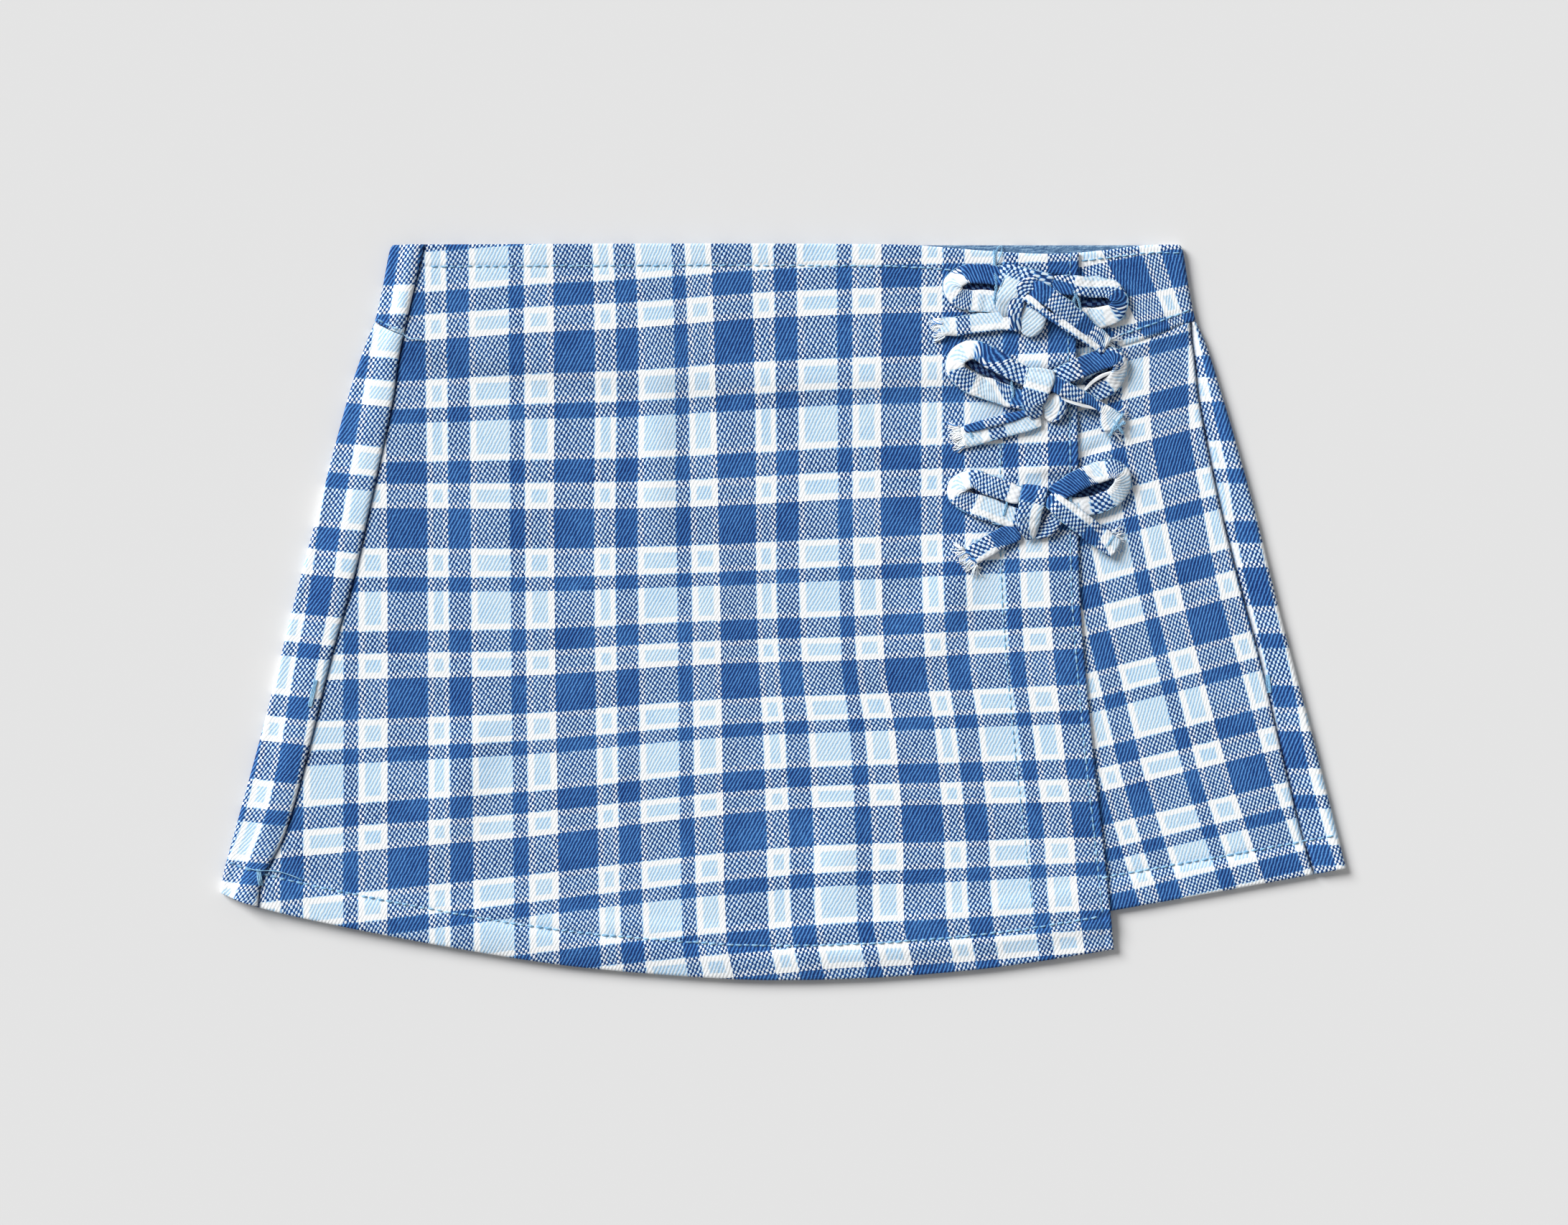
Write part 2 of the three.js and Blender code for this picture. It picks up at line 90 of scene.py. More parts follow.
# Rows of stitches: where each starts and ends, in x or up the wrap's edge, and its path's points
STITCH_ROWS = {
    "wrap_hem": (-183.5, 112.5, 700), "wrap_side": (-106.0, 127.0, 500),
    "facing": (-104.0, 60.0, 400), "wrap_head": (-124.0, 100.0, 500),
    "right_hem": (112.0, 194.6, 220), "left_hem": (-195.0, -185.0, 60),
    "band_seam": (118.0, 143.6, 90), "band_top": (104.5, 139.6, 100),
    "left_strip": (-142.8, -133.6, 60),
}

# Relief of the stitched cloth: depths, rises and widths, and how far pieces sink or tuck under
HEM_LINE_DEPTH = 0.34
HEM_LINE_WIDTH = 0.9
HEM_ROPING = 0.17
HEM_PUCKER = 0.13
SEAM_LINE_WIDTH = 0.75
SEAM_PUCKER = 0.1
FACING_RISE = 0.2
SEAM_DIP_WIDTH = 1.1
# Width of the painted shade along the side seams
SEAM_SHADE_WIDTH = 0.8
NOTCH_WIDTH = 0.9
LIP_RISE = 0.45
LIP_WIDTH = 5.0
LIP_FROM_X = 120.0
WAIST_RISE = 0.8
WAIST_NOTCH = 0.25
WAIST_PUCKER = 0.14
WAIST_WIDTH = 7.0
TUCK_UNDER = 0.9
BAND_SINK = 0.4

# Grid lines near the edges of a piece, in millimetres from them, and how many lie between: up the
# piece, then across it, or on the ground, round the fold and on top
SOFT_EDGE = [0.0, 0.12, 0.4, 0.9, 1.6, 2.3]
STITCHED_EDGE = SOFT_EDGE + [2.6, 2.9, 3.2, 3.7, 4.6]
TOP_EDGE = SOFT_EDGE + [3.4, 4.8, 6.2, 7.0, 7.5, 7.8, 8.1, 8.6, 9.6]
HEM_EDGE = SOFT_EDGE + [3.4, 4.8, 6.2, 7.6, 9.0, 10.2, 11.2, 11.8, 12.3, 12.8, 13.4, 14.4]
WRAP_GRID = (138, 166)
FRONT_LEFT_GRID = (60, 50)
FRONT_RIGHT_GRID = (120, 110)
BACK_ROWS = 104
BACK_COLUMNS = (34, 10, 22)
BAND_ROWS = 22
BAND_BACK_COLUMNS = (120, 10, 16)
BAND_FRONT_COLUMNS = (8, 10, 190)
EDGE_CROWDING = 1.6
RIM_LEAST = 0.01
SETTLE_ROUNDS = 10

# Noise: how many random knots repeat, and where a curve starts among them
RIPPLE_KNOTS = 512
RIPPLE_START = 100.0
CLOUD_KNOTS = 128
CLOUD_START = 40.0

# What shows of each piece of cloth, laid flat: width and height in metres, area in square metres
BACK_SHEET = ((0.205, 0.225), 0.0345)
FRONT_LEFT_SHEET = ((0.185, 0.220), 0.0325)
FRONT_RIGHT_SHEET = ((0.190, 0.220), 0.0345)
BAND_SHEET = ((0.285, 0.040), 0.0108)
WRAP_SHEET = ((0.300, 0.255), 0.0665)

# Outer edges of the laid garment: height y, left, right
SIDES = [
    (129.4, -137.6, 140.2), (127.0, -138.6, 141.0), (115.0, -140.9, 142.9), (103.0, -143.6, 145.4),
    (95.0, -146.8, 148.8), (77.0, -152.8, 154.6), (39.0, -162.9, 165.4), (1.0, -172.8, 174.8),
    (-37.0, -182.2, 184.9), (-75.0, -192.5, 194.6), (-90.1, -196.6, 198.4), (-98.7, -198.4, 200.7),
]

# Side seams, which lie on the front: height y, left, right
SEAMS = [
    (129.4, -126.0, 143.0), (101.0, -132.6, 143.6), (88.0, -135.3, 145.2), (75.0, -137.1, 146.6),
    (39.0, -144.9, 153.7), (14.0, -150.5, 159.9), (-16.0, -158.9, 168.0), (-47.0, -166.5, 175.3),
    (-78.0, -175.2, 182.8), (-94.0, -183.2, 187.7), (-104.0, -184.6, 190.5),
]

# Free edge of the wrap: height y, x
WRAP_EDGE = [
    (129.4, 104.2), (97.0, 103.2), (62.0, 103.9), (6.0, 104.6), (-47.0, 109.0), (-83.0, 113.0),
    (-118.6, 116.6),
]

# Top of the front, top of the back, waistband seam, and the hems: x, y
FRONT_TOP_LINE = [
    (-145.0, 129.4), (38.0, 129.4), (75.0, 126.9), (95.0, 126.1), (114.0, 127.6), (128.0, 129.3),
    (150.0, 129.4),
]
BACK_TOP_LINE = [(-145.0, 129.4), (150.0, 129.4)]
BAND_LINE = [
    (-144.0, 102.2), (-133.0, 97.2), (-110.0, 91.5), (-60.0, 86.0), (0.0, 84.0), (60.0, 86.0),
    (104.0, 90.1), (120.0, 93.6), (143.0, 101.8),
]
LEG_HEM = [
    (-198.4, -98.7), (-187.0, -102.8), (-150.0, -108.5), (-100.0, -114.5), (-50.0, -119.0),
    (0.0, -121.0), (60.0, -114.6), (117.0, -104.8), (157.0, -97.7), (198.4, -90.1),
]
WRAP_HEM = [
    (-198.4, -98.7), (-184.6, -103.7), (-157.0, -110.1), (-116.0, -118.0), (-76.0, -124.3),
    (-35.0, -128.0), (-5.0, -129.4), (35.0, -128.4), (76.0, -124.8), (116.6, -118.6),
]

# Soft ridges of the wrap: x, y, direction in degrees, half length, half width, rise
WRAP_FOLDS = [
    (92.0, 88.0, -6.0, 15.0, 4.5, 1.1),
    (93.0, 51.0, 4.0, 17.0, 5.0, 1.2),
    (-44.0, 60.0, 90.0, 62.0, 11.0, 0.9),
    (62.0, 12.0, 66.0, 48.0, 13.0, 0.8),
    (-112.0, -55.0, 74.0, 52.0, 14.0, 0.8),
    (20.0, -88.0, 86.0, 38.0, 13.0, 0.7),
]

# Sharp creases where the bows pull the cloth: x, y, direction, half length, half width, depth
WRAP_CREASES = [
    (77.5, 120.7, -28.0, 5.0, 0.9, 0.9), (84.5, 119.0, -6.0, 6.5, 1.0, 1.1),
    (95.0, 118.2, -3.0, 9.0, 1.0, 1.1), (72.0, 113.5, 8.0, 6.0, 2.0, 0.7),
    (98.0, 84.5, 4.0, 8.0, 2.6, 0.9), (96.0, 46.0, -24.0, 11.0, 3.4, 1.0),
    (77.0, 69.5, 8.0, 9.0, 2.8, 0.8),
]
BAND_CREASES = [
    (107.5, 121.0, 34.0, 4.5, 0.9, 0.9), (114.0, 124.2, 14.0, 5.0, 0.9, 0.7),
    (106.4, 93.0, 78.0, 8.0, 2.6, 1.2),
]
FRONT_CREASES = [
    (109.5, 57.0, 24.0, 9.0, 3.2, 0.9), (106.5, 86.0, 80.0, 7.0, 2.8, 0.9),
    (112.0, 48.5, 12.0, 8.0, 4.0, -0.5),
]

# One repeat of the check. Across it the warp stripes run left to right, down it the weft
# bands run top to bottom. Each row is a width in millimetres and how light the yarn is.
INDIGO, PALE, WHITE = 0.0, 0.62, 1.0
WARP_CHART = [
    (14.4, INDIGO), (2.0, WHITE), (3.6, PALE), (1.8, WHITE), (8.1, INDIGO), (2.1, WHITE),
    (11.8, PALE), (5.4, INDIGO), (2.2, WHITE), (5.8, PALE), (2.2, WHITE),
]
WEFT_CHART = [
    (14.4, INDIGO), (2.1, WHITE), (5.9, PALE), (2.1, WHITE), (5.4, INDIGO), (11.8, PALE),
    (2.1, WHITE), (8.1, INDIGO), (2.1, WHITE), (4.7, PALE), (2.1, WHITE),
]
WARP_REPEAT = sum(width for width, tone in WARP_CHART)
WEFT_REPEAT = sum(width for width, tone in WEFT_CHART)

# Where the repeats of the check fall on each piece. A warp line is the left edge of the widest
# indigo stripe, a weft line is the top of the widest indigo band.
WRAP_WARP_LINES = [
    [(91.9, -139.9), (8.4, -139.1), (-80.3, -139.1)],
    [(91.9, -80.8), (8.4, -80.4), (-80.3, -79.1)],
    [(91.9, -24.4), (8.4, -21.9), (-80.3, -20.9), (-116.0, -19.7), (-128.0, -17.4)],
    [
        (91.9, 34.6), (33.0, 34.5), (-4.7, 35.2), (-22.2, 36.2), (-39.5, 39.1), (-56.7, 40.7),
        (-78.4, 42.2), (-110.0, 42.7), (-119.0, 44.5),
    ],
    [
        (91.9, 93.2), (51.0, 93.3), (16.7, 93.6), (-15.0, 95.3), (-46.4, 98.6), (-73.9, 101.9),
        (-99.8, 103.8), (-117.0, 105.8),
    ],
]
WRAP_WEFT_PLACES = [-130.5, -86.2, -40.6, -7.7, 17.6, 53.0, 91.0]
WRAP_WEFT_HEIGHTS = [
    [95.4, 98.5, 101.3, 103.5, 104.6, 105.6, 106.3],
    [36.7, 36.5, 37.0, 38.2, 39.7, 41.0, 42.0],
    [-23.0, -22.0, -19.0, -17.5, -17.0, -15.4, -13.4],
    [-82.3, -78.5, -73.2, -69.9, -68.4, -67.6, -66.8],
    [-142.8, -135.6, -130.4, -127.6, -125.2, -123.6, -120.8],
]

# Places where folds pull the wrap's check aside: x, y, reach across, reach down, right, up
WRAP_PULLS = [
    (-52.0, 95.0, 22.0, 48.0, 1.7, -0.4), (-4.0, 5.0, 15.0, 42.0, -1.2, 0.0),
    (0.0, 13.0, 95.0, 15.0, 0.0, -0.9), (75.0, 85.0, 14.0, 50.0, -0.5, -0.4),
]

# On both fronts
FRONT_WARP_LINE = [
    (97.0, 129.0), (64.1, 129.7), (37.5, 134.1), (15.9, 138.1), (-4.3, 142.9), (-23.3, 148.0),
    (-39.7, 152.3), (-57.5, 157.1), (-73.9, 162.6), (-90.4, 168.2),
]
FRONT_WEFTS = [118.8, 61.0, 0.8, -52.7, -100.9]
# Rise of the weft bands and width of the stripes, at mid height and above, and at the hem
FRONT_WEFT_RISE = (0.25, 0.21)
FRONT_WARP_SCALE = (0.95, 1.04)
FRONT_SPREAD_TOP = 10.0
FRONT_SPREAD_DEPTH = 100.0

# On the side strips: the middle of the stripes that run down them
LEFT_STRIPE = [
    (85.6, -150.3), (66.6, -153.3), (46.3, -156.8), (26.1, -160.1), (5.8, -162.9), (-13.2, -166.7),
    (-33.4, -170.3), (-52.4, -173.5), (-72.7, -178.4), (-92.9, -186.2),
]
LEFT_WEFTS = [134.4, 73.7, 12.9, -46.1, -104.2]
LEFT_WEFT_FALL = 0.1
RIGHT_STRIPE = [
    (67.8, 156.3), (47.6, 160.6), (28.1, 163.4), (9.6, 167.2), (-11.1, 172.3), (-30.9, 176.6),
    (-48.6, 179.6), (-66.3, 183.7), (-86.6, 189.7),
]
RIGHT_WEFTS = [132.4, 74.2, 15.9, -41.8, -97.2]
# Where those stripes lie on the check, and how far beside a stripe the bands lean
STRIPE_MIDDLE = 25.8
STRIPE_LEAN_REACH = 25.0

# On the front waistband, left edges of the widest indigo stripe and of the next one, then on the back
BAND_RIGHT_LINES = [[(127.3, 112.2), (97.1, 127.0)], [(127.3, 132.8), (112.2, 137.8), (97.1, 142.8)]]
BAND_RIGHT_STEP = sum(width for width, tone in WARP_CHART[:4])
BAND_RIGHT_WEFTS = [123.3, 70.4]
BAND_RIGHT_RISE = 0.18
BAND_LEFT_STRIPE = [(127.3, -149.4), (97.1, -153.5)]
BAND_LEFT_WEFTS = [129.4, 68.6]

# The bows are laid out on the picture: pixels to a millimetre, and the garment's origin there
PICTURE_SCALE = 3.95
PICTURE_X = 1090.5
PICTURE_Y = 853.0

# The ties: the strips' own size, and how they are lifted, banked, darkened by painted shade and meshed
TIE_THICKNESS = 1.45
TIE_WIDTH = 6.8
TIE_LIFT = 1.35
TIE_BANK = 0.6
TIE_SHADE = 2.2
EDGE_THREAD_MIN = 12.0
EDGE_THREAD_RADIUS = 0.17
TIE_STEP = 0.45
TIE_SIDES = 20
# Their section: how square it is across and up, how uneven its edges are, and its relief
TIE_SQUARENESS = (0.62, 0.55)
TIE_UNEVEN = 0.07
TIE_CREASE = 0.2
TIE_GATHER = 0.3
TIE_DENT = 0.12

# The tack threads: strands, how they twist in turns of an angle per millimetre, and their reach
TACK_STRANDS = 3
TACK_TWIST = 2.4
TACK_SWING = 0.34
TACK_RISE = 0.16
TACK_WOBBLE = 0.14
TACK_RADIUS = 0.19
TACK_STEP = 0.35
BAR_RADIUS = 0.3
LOOSE_RADIUS = 0.2

# Each tie is a folded strip. Its rows: picture x and y, height of its middle above the cloth,
# width, bank in degrees, and where the row lies on the check, along the strip and across it.
# The strips with an eighth number lie deep inside a loop, as sheets painted dark for the shade
# there: it is how much painted shade darkens them.
BOWS = {
    "bow_1": {
        "loop_left": [[
            (1402, 389, 1.9, 6.8, 0, 2.0, 5.0), (1382, 386, 1.9, 6.8, 0, 6.0, 6.0),
            (1362, 384, 1.8, 7.0, 4, 11.0, 8.0), (1343, 385, 1.6, 6.9, 14, 14.0, 13.5),
            (1326, 398, 1.4, 7.0, 30, 18.0, 19.0), (1331, 413, 1.2, 6.8, 20, 21.6, 19.0),
            (1348, 420, 1.1, 7.4, 6, 28.5, 19.0), (1368, 421, 1.1, 8.0, 0, 34.0, 20.0),
            (1394, 424, 1.0, 7.4, 0, 41.0, 20.0),
        ], [
            (1338, 399, 0.6, 2.6, 0, 36.0, 9.0, 0.5), (1358, 402, 0.5, 3.2, 0, 39.0, 9.0, 0.7),
            (1384, 405, 0.5, 3.4, 0, 43.0, 9.0, 0.6),
        ]],
        "loop_right": [[
            (1462, 400, 2.0, 6.8, 0, 22.0, 12.0), (1482, 399, 2.0, 7.0, 0, 27.0, 13.4),
            (1505, 401, 2.0, 7.4, 0, 32.0, 14.4), (1530, 402, 1.9, 7.4, -6, 38.0, 14.4),
            (1548, 407, 1.8, 7.0, -18, 43.2, 13.0), (1558, 420, 1.6, 6.6, -34, 47.0, 12.0),
            (1552, 435, 1.3, 6.8, -18, 48.6, 17.0), (1537, 442, 1.1, 7.6, -6, 51.4, 19.0),
            (1517, 445, 1.0, 7.6, 0, 56.0, 20.0), (1496, 442, 1.0, 7.0, 0, 61.0, 20.0),
        ], [
            (1502, 427, 0.5, 2.6, 0, 36.0, 8.0, 0.9), (1528, 422, 0.5, 2.8, 0, 39.0, 8.0, 1.0),
            (1554, 424, 0.5, 2.6, 0, 43.0, 8.0, 0.8),
        ]],
        "tail_left": [[
            (1418, 450, 1.0, 6.6, 0, 27.0, 21.8), (1400, 449, 1.0, 6.8, 0, 31.0, 21.8),
            (1375, 451, 1.0, 7.0, 0, 37.6, 21.8), (1350, 454, 0.9, 7.0, 0, 44.0, 21.8),
            (1330, 456, 0.9, 6.8, 0, 49.4, 21.0), (1309, 457, 0.9, 6.6, 0, 54.6, 20.0),
        ]],
        "tail_right": [[
            (1431, 401, 3.2, 5.6, 0, 22.0, 7.0), (1447, 409, 3.6, 6.8, 0, 26.0, 7.0),
            (1471, 425, 3.3, 7.0, 0, 33.5, 7.0), (1497, 446, 2.6, 7.0, 0, 42.5, 7.0),
            (1519, 465, 2.0, 6.6, 0, 50.0, 8.0), (1541, 483, 1.5, 6.0, 0, 57.0, 16.0),
        ], [
            (1419, 412, 3.3, 2.2, 0, 14.8, 14.9), (1434, 422, 3.6, 3.0, 0, 18.2, 14.9),
            (1452, 437, 3.4, 2.7, 0, 23.2, 14.9), (1480, 455, 2.9, 3.1, 0, 31.6, 15.0),
            (1511, 476, 2.3, 2.8, 0, 40.2, 15.0), (1537, 493, 1.5, 2.3, 0, 46.0, 15.2),
        ]],
        "knot": [[
            (1383, 383, 1.6, 5.0, 0, 2.0, 19.0), (1404, 383, 2.3, 6.0, 0, 6.0, 19.0),
            (1432, 389, 2.7, 6.6, 0, 11.0, 19.0), (1464, 398, 2.2, 6.4, 0, 14.0, 17.0),
        ], [
            (1415, 379, 2.6, 5.4, 0, 27.0, 36.0), (1408, 396, 3.3, 7.0, 0, 31.0, 36.0),
            (1402, 413, 3.3, 7.6, 0, 35.0, 36.0), (1399, 429, 2.5, 6.4, 0, 38.5, 36.0),
            (1402, 443, 1.2, 3.4, 0, 42.0, 36.0),
        ], [
            (1444, 393, 3.3, 4.6, 0, 1.0, 17.5), (1424, 404, 3.5, 5.4, 0, 6.0, 17.5),
            (1415, 424, 3.2, 5.2, 0, 10.0, 17.5), (1412, 444, 2.4, 4.8, 0, 13.0, 17.5),
            (1418, 463, 1.2, 3.0, 0, 14.0, 17.5),
        ], [
            (1448, 414, 1.6, 6.0, 0, 25.0, 36.0), (1442, 431, 2.4, 8.4, 0, 29.0, 36.0),
            (1437, 449, 2.1, 9.2, 0, 34.0, 36.0), (1432, 464, 1.4, 6.2, 0, 38.5, 36.0),
            (1430, 471, 0.9, 2.2, 0, 40.5, 36.0),
        ]],
    },
    "bow_2": {
        "loop_left": [[
            (1433, 528, 2.0, 6.8, 0, 1.0, 19.0), (1405, 515, 2.0, 7.4, 0, 7.0, 18.5),
            (1376, 499, 2.0, 7.6, 4, 13.0, 12.5), (1354, 489, 1.9, 7.0, 14, 14.6, 19.0),
            (1333, 499, 1.7, 7.0, 30, 19.0, 19.0), (1331, 517, 1.4, 7.0, 22, 22.2, 19.0),
            (1350, 534, 1.2, 7.4, 8, 28.5, 19.0), (1375, 543, 1.1, 7.8, 0, 36.0, 20.0),
            (1402, 552, 1.0, 7.6, 0, 42.5, 26.5), (1429, 558, 1.0, 7.0, 0, 48.0, 27.0),
        ], [
            (1341, 499, 0.6, 2.8, 0, 35.0, 8.0, 0.7), (1362, 511, 0.5, 4.2, 0, 38.0, 8.0, 1.0),
            (1386, 523, 0.5, 3.6, 0, 42.0, 8.0, 1.0), (1410, 534, 0.5, 3.0, 0, 43.4, 8.0, 0.8),
        ]],
        "loop_right": [[
            (1455, 536, 1.6, 6.0, 0, -10.0, 7.0), (1478, 524, 2.2, 6.8, 0, -5.5, 7.0),
            (1505, 513, 2.4, 7.4, -4, 0.5, 7.0), (1533, 502, 2.3, 7.4, -10, 7.0, 11.0),
            (1550, 499, 2.2, 6.6, -24, 12.0, 12.5), (1559, 509, 1.9, 5.8, -44, 15.6, 13.4),
            (1555, 525, 1.4, 5.6, -40, 19.0, 17.5), (1540, 541, 1.1, 6.4, -12, 23.0, 19.0),
            (1515, 550, 1.0, 6.8, -4, 29.0, 19.0), (1485, 552, 0.9, 6.8, 0, 36.0, 27.0),
        ], [
            (1504, 546, 0.6, 3.4, 0, 4.0, 20.0, 0.3), (1528, 534, 0.7, 6.4, 0, 10.0, 20.0, 0.5),
            (1553, 523, 0.7, 5.0, 0, 14.0, 19.0, 0.6),
        ], [
            (1509, 545, 1.9, 0.9, 0, 15.0, 15.2), (1519, 534, 2.1, 1.3, 0, 15.2, 15.2),
            (1533, 525, 2.2, 1.4, 0, 15.6, 15.2), (1549, 519, 2.0, 1.0, 0, 16.0, 15.2),
        ]],
        "tail_left": [[
            (1449, 585, 0.9, 4.4, 0, 30.0, 18.6), (1427, 591, 1.0, 6.2, 0, 35.6, 18.6),
            (1400, 596, 1.0, 7.0, 0, 43.6, 18.6), (1376, 602, 1.0, 7.4, 0, 49.2, 18.0),
            (1355, 607, 0.9, 7.8, 0, 54.0, 18.0), (1338, 611, 0.9, 7.6, 0, 58.5, 18.0),
        ], [
            (1434, 574, 1.3, 2.2, 0, 6.0, 12.4), (1410, 582, 1.6, 3.2, 0, 12.0, 12.4),
            (1384, 588, 1.7, 3.4, 0, 18.0, 12.4), (1362, 594, 1.6, 3.2, 0, 24.0, 12.4),
            (1342, 599, 1.4, 2.6, 0, 29.0, 12.4),
        ]],
        "tail_right": [[
            (1456, 529, 2.8, 5.0, 0, 8.0, 8.0), (1476, 541, 2.9, 5.8, 0, 14.0, 9.0),
            (1500, 552, 2.5, 5.0, 0, 20.0, 11.0), (1521, 561, 2.1, 3.6, 0, 26.0, 13.0),
            (1537, 572, 1.7, 4.2, 0, 31.0, 16.0), (1545, 585, 1.3, 8.2, 0, 36.0, 18.0),
            (1551, 598, 1.1, 8.6, 0, 40.0, 18.0),
        ], [
            (1470, 552, 2.3, 1.0, 0, 15.0, 15.0), (1492, 562, 2.3, 1.4, 0, 15.6, 14.8),
            (1516, 568, 2.0, 1.3, 0, 16.2, 14.8), (1541, 572, 1.6, 0.9, 0, 17.0, 14.8),
        ]],
        "knot": [[
            (1448, 514, 2.2, 9.6, 0, 22.2, 36.6), (1446, 530, 3.3, 10.4, 0, 18.2, 36.6),
            (1441, 548, 3.4, 9.2, 0, 13.6, 36.6), (1437, 566, 2.8, 7.6, 0, 9.0, 36.6),
            (1444, 583, 1.4, 4.0, 0, 5.0, 36.6),
        ], [
            (1464, 549, 1.8, 6.0, 0, 15.0, 20.4), (1468, 561, 2.1, 8.2, 0, 17.5, 20.2),
            (1467, 574, 1.7, 8.0, 0, 20.5, 20.4), (1462, 584, 1.1, 5.0, 0, 22.6, 21.0),
            (1460, 588, 0.8, 2.0, 0, 23.4, 21.0),
        ]],
    },
    "bow_3": {
        "loop_left": [[
            (1422, 691, 1.8, 6.6, 0, -3.0, 19.0), (1398, 684, 1.9, 7.0, 0, 1.0, 19.0),
            (1376, 676, 1.9, 7.2, 4, 7.0, 19.0), (1356, 668, 1.8, 6.8, 14, 12.8, 19.0),
            (1335, 675, 1.6, 6.8, 30, 18.0, 19.0), (1333, 690, 1.4, 6.8, 22, 21.8, 18.0),
            (1352, 702, 1.2, 7.6, 8, 28.6, 17.4), (1375, 710, 1.1, 8.2, 0, 35.0, 17.4),
            (1398, 718, 1.0, 7.8, 0, 41.0, 18.0), (1422, 723, 1.0, 6.8, 0, 46.0, 19.0),
        ], [
            (1350, 677, 0.6, 2.2, 0, 35.0, 7.0, 0.8), (1372, 690, 0.5, 3.0, 0, 39.0, 7.0, 1.0),
            (1402, 699, 0.5, 2.8, 0, 43.0, 7.0, 1.0),
        ]],
        "loop_right": [[
            (1461, 694, 1.6, 6.2, 0, 0.0, 5.0), (1480, 681, 2.1, 7.0, 0, 5.0, 6.0),
            (1502, 669, 2.4, 7.6, -4, 11.5, 9.5), (1524, 660, 2.4, 7.6, -8, 17.5, 18.0),
            (1546, 654, 2.3, 7.0, -18, 24.0, 18.0), (1561, 660, 2.1, 6.4, -34, 30.6, 18.0),
            (1562, 676, 1.8, 6.6, -34, 36.0, 18.0), (1550, 692, 1.3, 6.8, -16, 42.8, 18.0),
            (1528, 702, 1.1, 7.0, -4, 47.5, 18.0), (1505, 706, 1.0, 6.8, 0, 51.0, 18.0),
            (1484, 706, 0.9, 6.4, 0, 56.0, 18.0),
        ], [
            (1500, 694, 0.6, 3.2, 0, 33.0, 7.0, 0.8), (1524, 686, 0.6, 5.4, 0, 37.0, 7.0, 1.0),
            (1550, 674, 0.6, 4.4, 0, 42.0, 7.0, 1.0),
        ]],
        "tail_left": [[
            (1419, 739, 0.9, 6.4, 0, 2.0, 9.0), (1400, 747, 1.0, 6.8, 0, 8.0, 11.0),
            (1381, 757, 1.0, 7.2, 0, 15.0, 12.6), (1363, 768, 0.9, 7.2, 0, 19.5, 12.6),
            (1349, 778, 0.9, 6.8, 0, 23.0, 12.6),
        ]],
        "tail_right": [[
            (1457, 694, 2.9, 5.6, 0, 28.0, 12.8), (1474, 706, 3.1, 7.2, 0, 32.0, 13.0),
            (1496, 723, 2.7, 7.8, 0, 39.0, 13.2), (1518, 740, 2.1, 7.8, 0, 45.5, 13.2),
            (1538, 754, 1.6, 7.6, 0, 51.0, 15.5), (1555, 765, 1.3, 7.2, 0, 56.0, 18.0),
        ]],
        "knot": [[
            (1440, 676, 2.3, 9.2, 0, 25.0, 13.2), (1438, 690, 3.2, 9.6, 0, 27.4, 13.4),
            (1433, 710, 3.4, 9.0, 0, 32.0, 14.0), (1431, 730, 2.8, 8.0, 0, 36.5, 14.2),
            (1434, 744, 1.8, 5.4, 0, 40.0, 14.4), (1437, 751, 1.0, 2.4, 0, 42.0, 14.4),
        ], [
            (1470, 716, 1.6, 5.0, 0, 2.0, 18.0), (1466, 727, 1.7, 5.8, 0, 5.0, 18.0),
            (1458, 737, 1.5, 5.4, 0, 9.0, 18.0), (1448, 744, 1.0, 4.0, 0, 12.0, 18.0),
            (1440, 749, 0.8, 2.0, 0, 13.4, 18.0),
        ]],
    },
}

# Light-blue tack threads over the bows: picture x and y, and height above the cloth
TACKS = {
    "bow_1": [
        [
            (1385, 350, 0.2), (1384, 366, 0.9), (1385, 382, 3.0), (1386, 402, 2.9), (1384, 422, 2.3),
            (1386, 440, 0.2),
        ],
        [(1490, 405, 3.1), (1499, 417, 2.8), (1504, 434, 1.9)],
        [(1500, 408, 3.1), (1494, 420, 2.6), (1496, 432, 2.0)],
    ],
    "bow_2": [
        [(1411, 517, 3.2), (1408, 533, 2.6), (1410, 547, 2.2), (1408, 560, 1.6)],
        [(1346, 592, 1.8), (1351, 604, 2.0), (1358, 618, 1.6)],
        [(1563, 577, 1.9), (1553, 592, 2.3), (1544, 609, 1.8)],
        [(1546, 583, 2.0), (1556, 594, 2.3), (1563, 605, 1.8)],
        [(1549, 600, 2.1), (1566, 589, 1.9)],
    ],
    "bow_3": [
        [(1405, 680, 3.0), (1402, 698, 2.5), (1397, 719, 2.0)],
        [(1550, 747, 2.5), (1542, 758, 2.7), (1532, 770, 2.0)],
        [(1488, 688, 2.9), (1491, 702, 2.1)],
    ],
}

# Short bar tacks across the side seams: picture x and y at both ends
BAR_TACKS = [(442, 947, 434, 984), (362, 1209, 366, 1232), (1765, 940, 1767, 965)]

# Loose sewing threads: picture x and y, and height above the cloth
LOOSE_THREADS = [
    [(563, 466, 0.2), (572, 473, 0.6), (583, 473, 0.8), (592, 476, 0.4)],
    [(344, 1207, 0.4), (362, 1211, 0.8), (385, 1212, 0.6), (404, 1217, 0.5), (424, 1225, 0.3)],
    [(1387, 353, 0.4), (1390, 345, 0.7), (1395, 344, 0.8), (1394, 354, 0.8), (1388, 368, 0.5)],
]

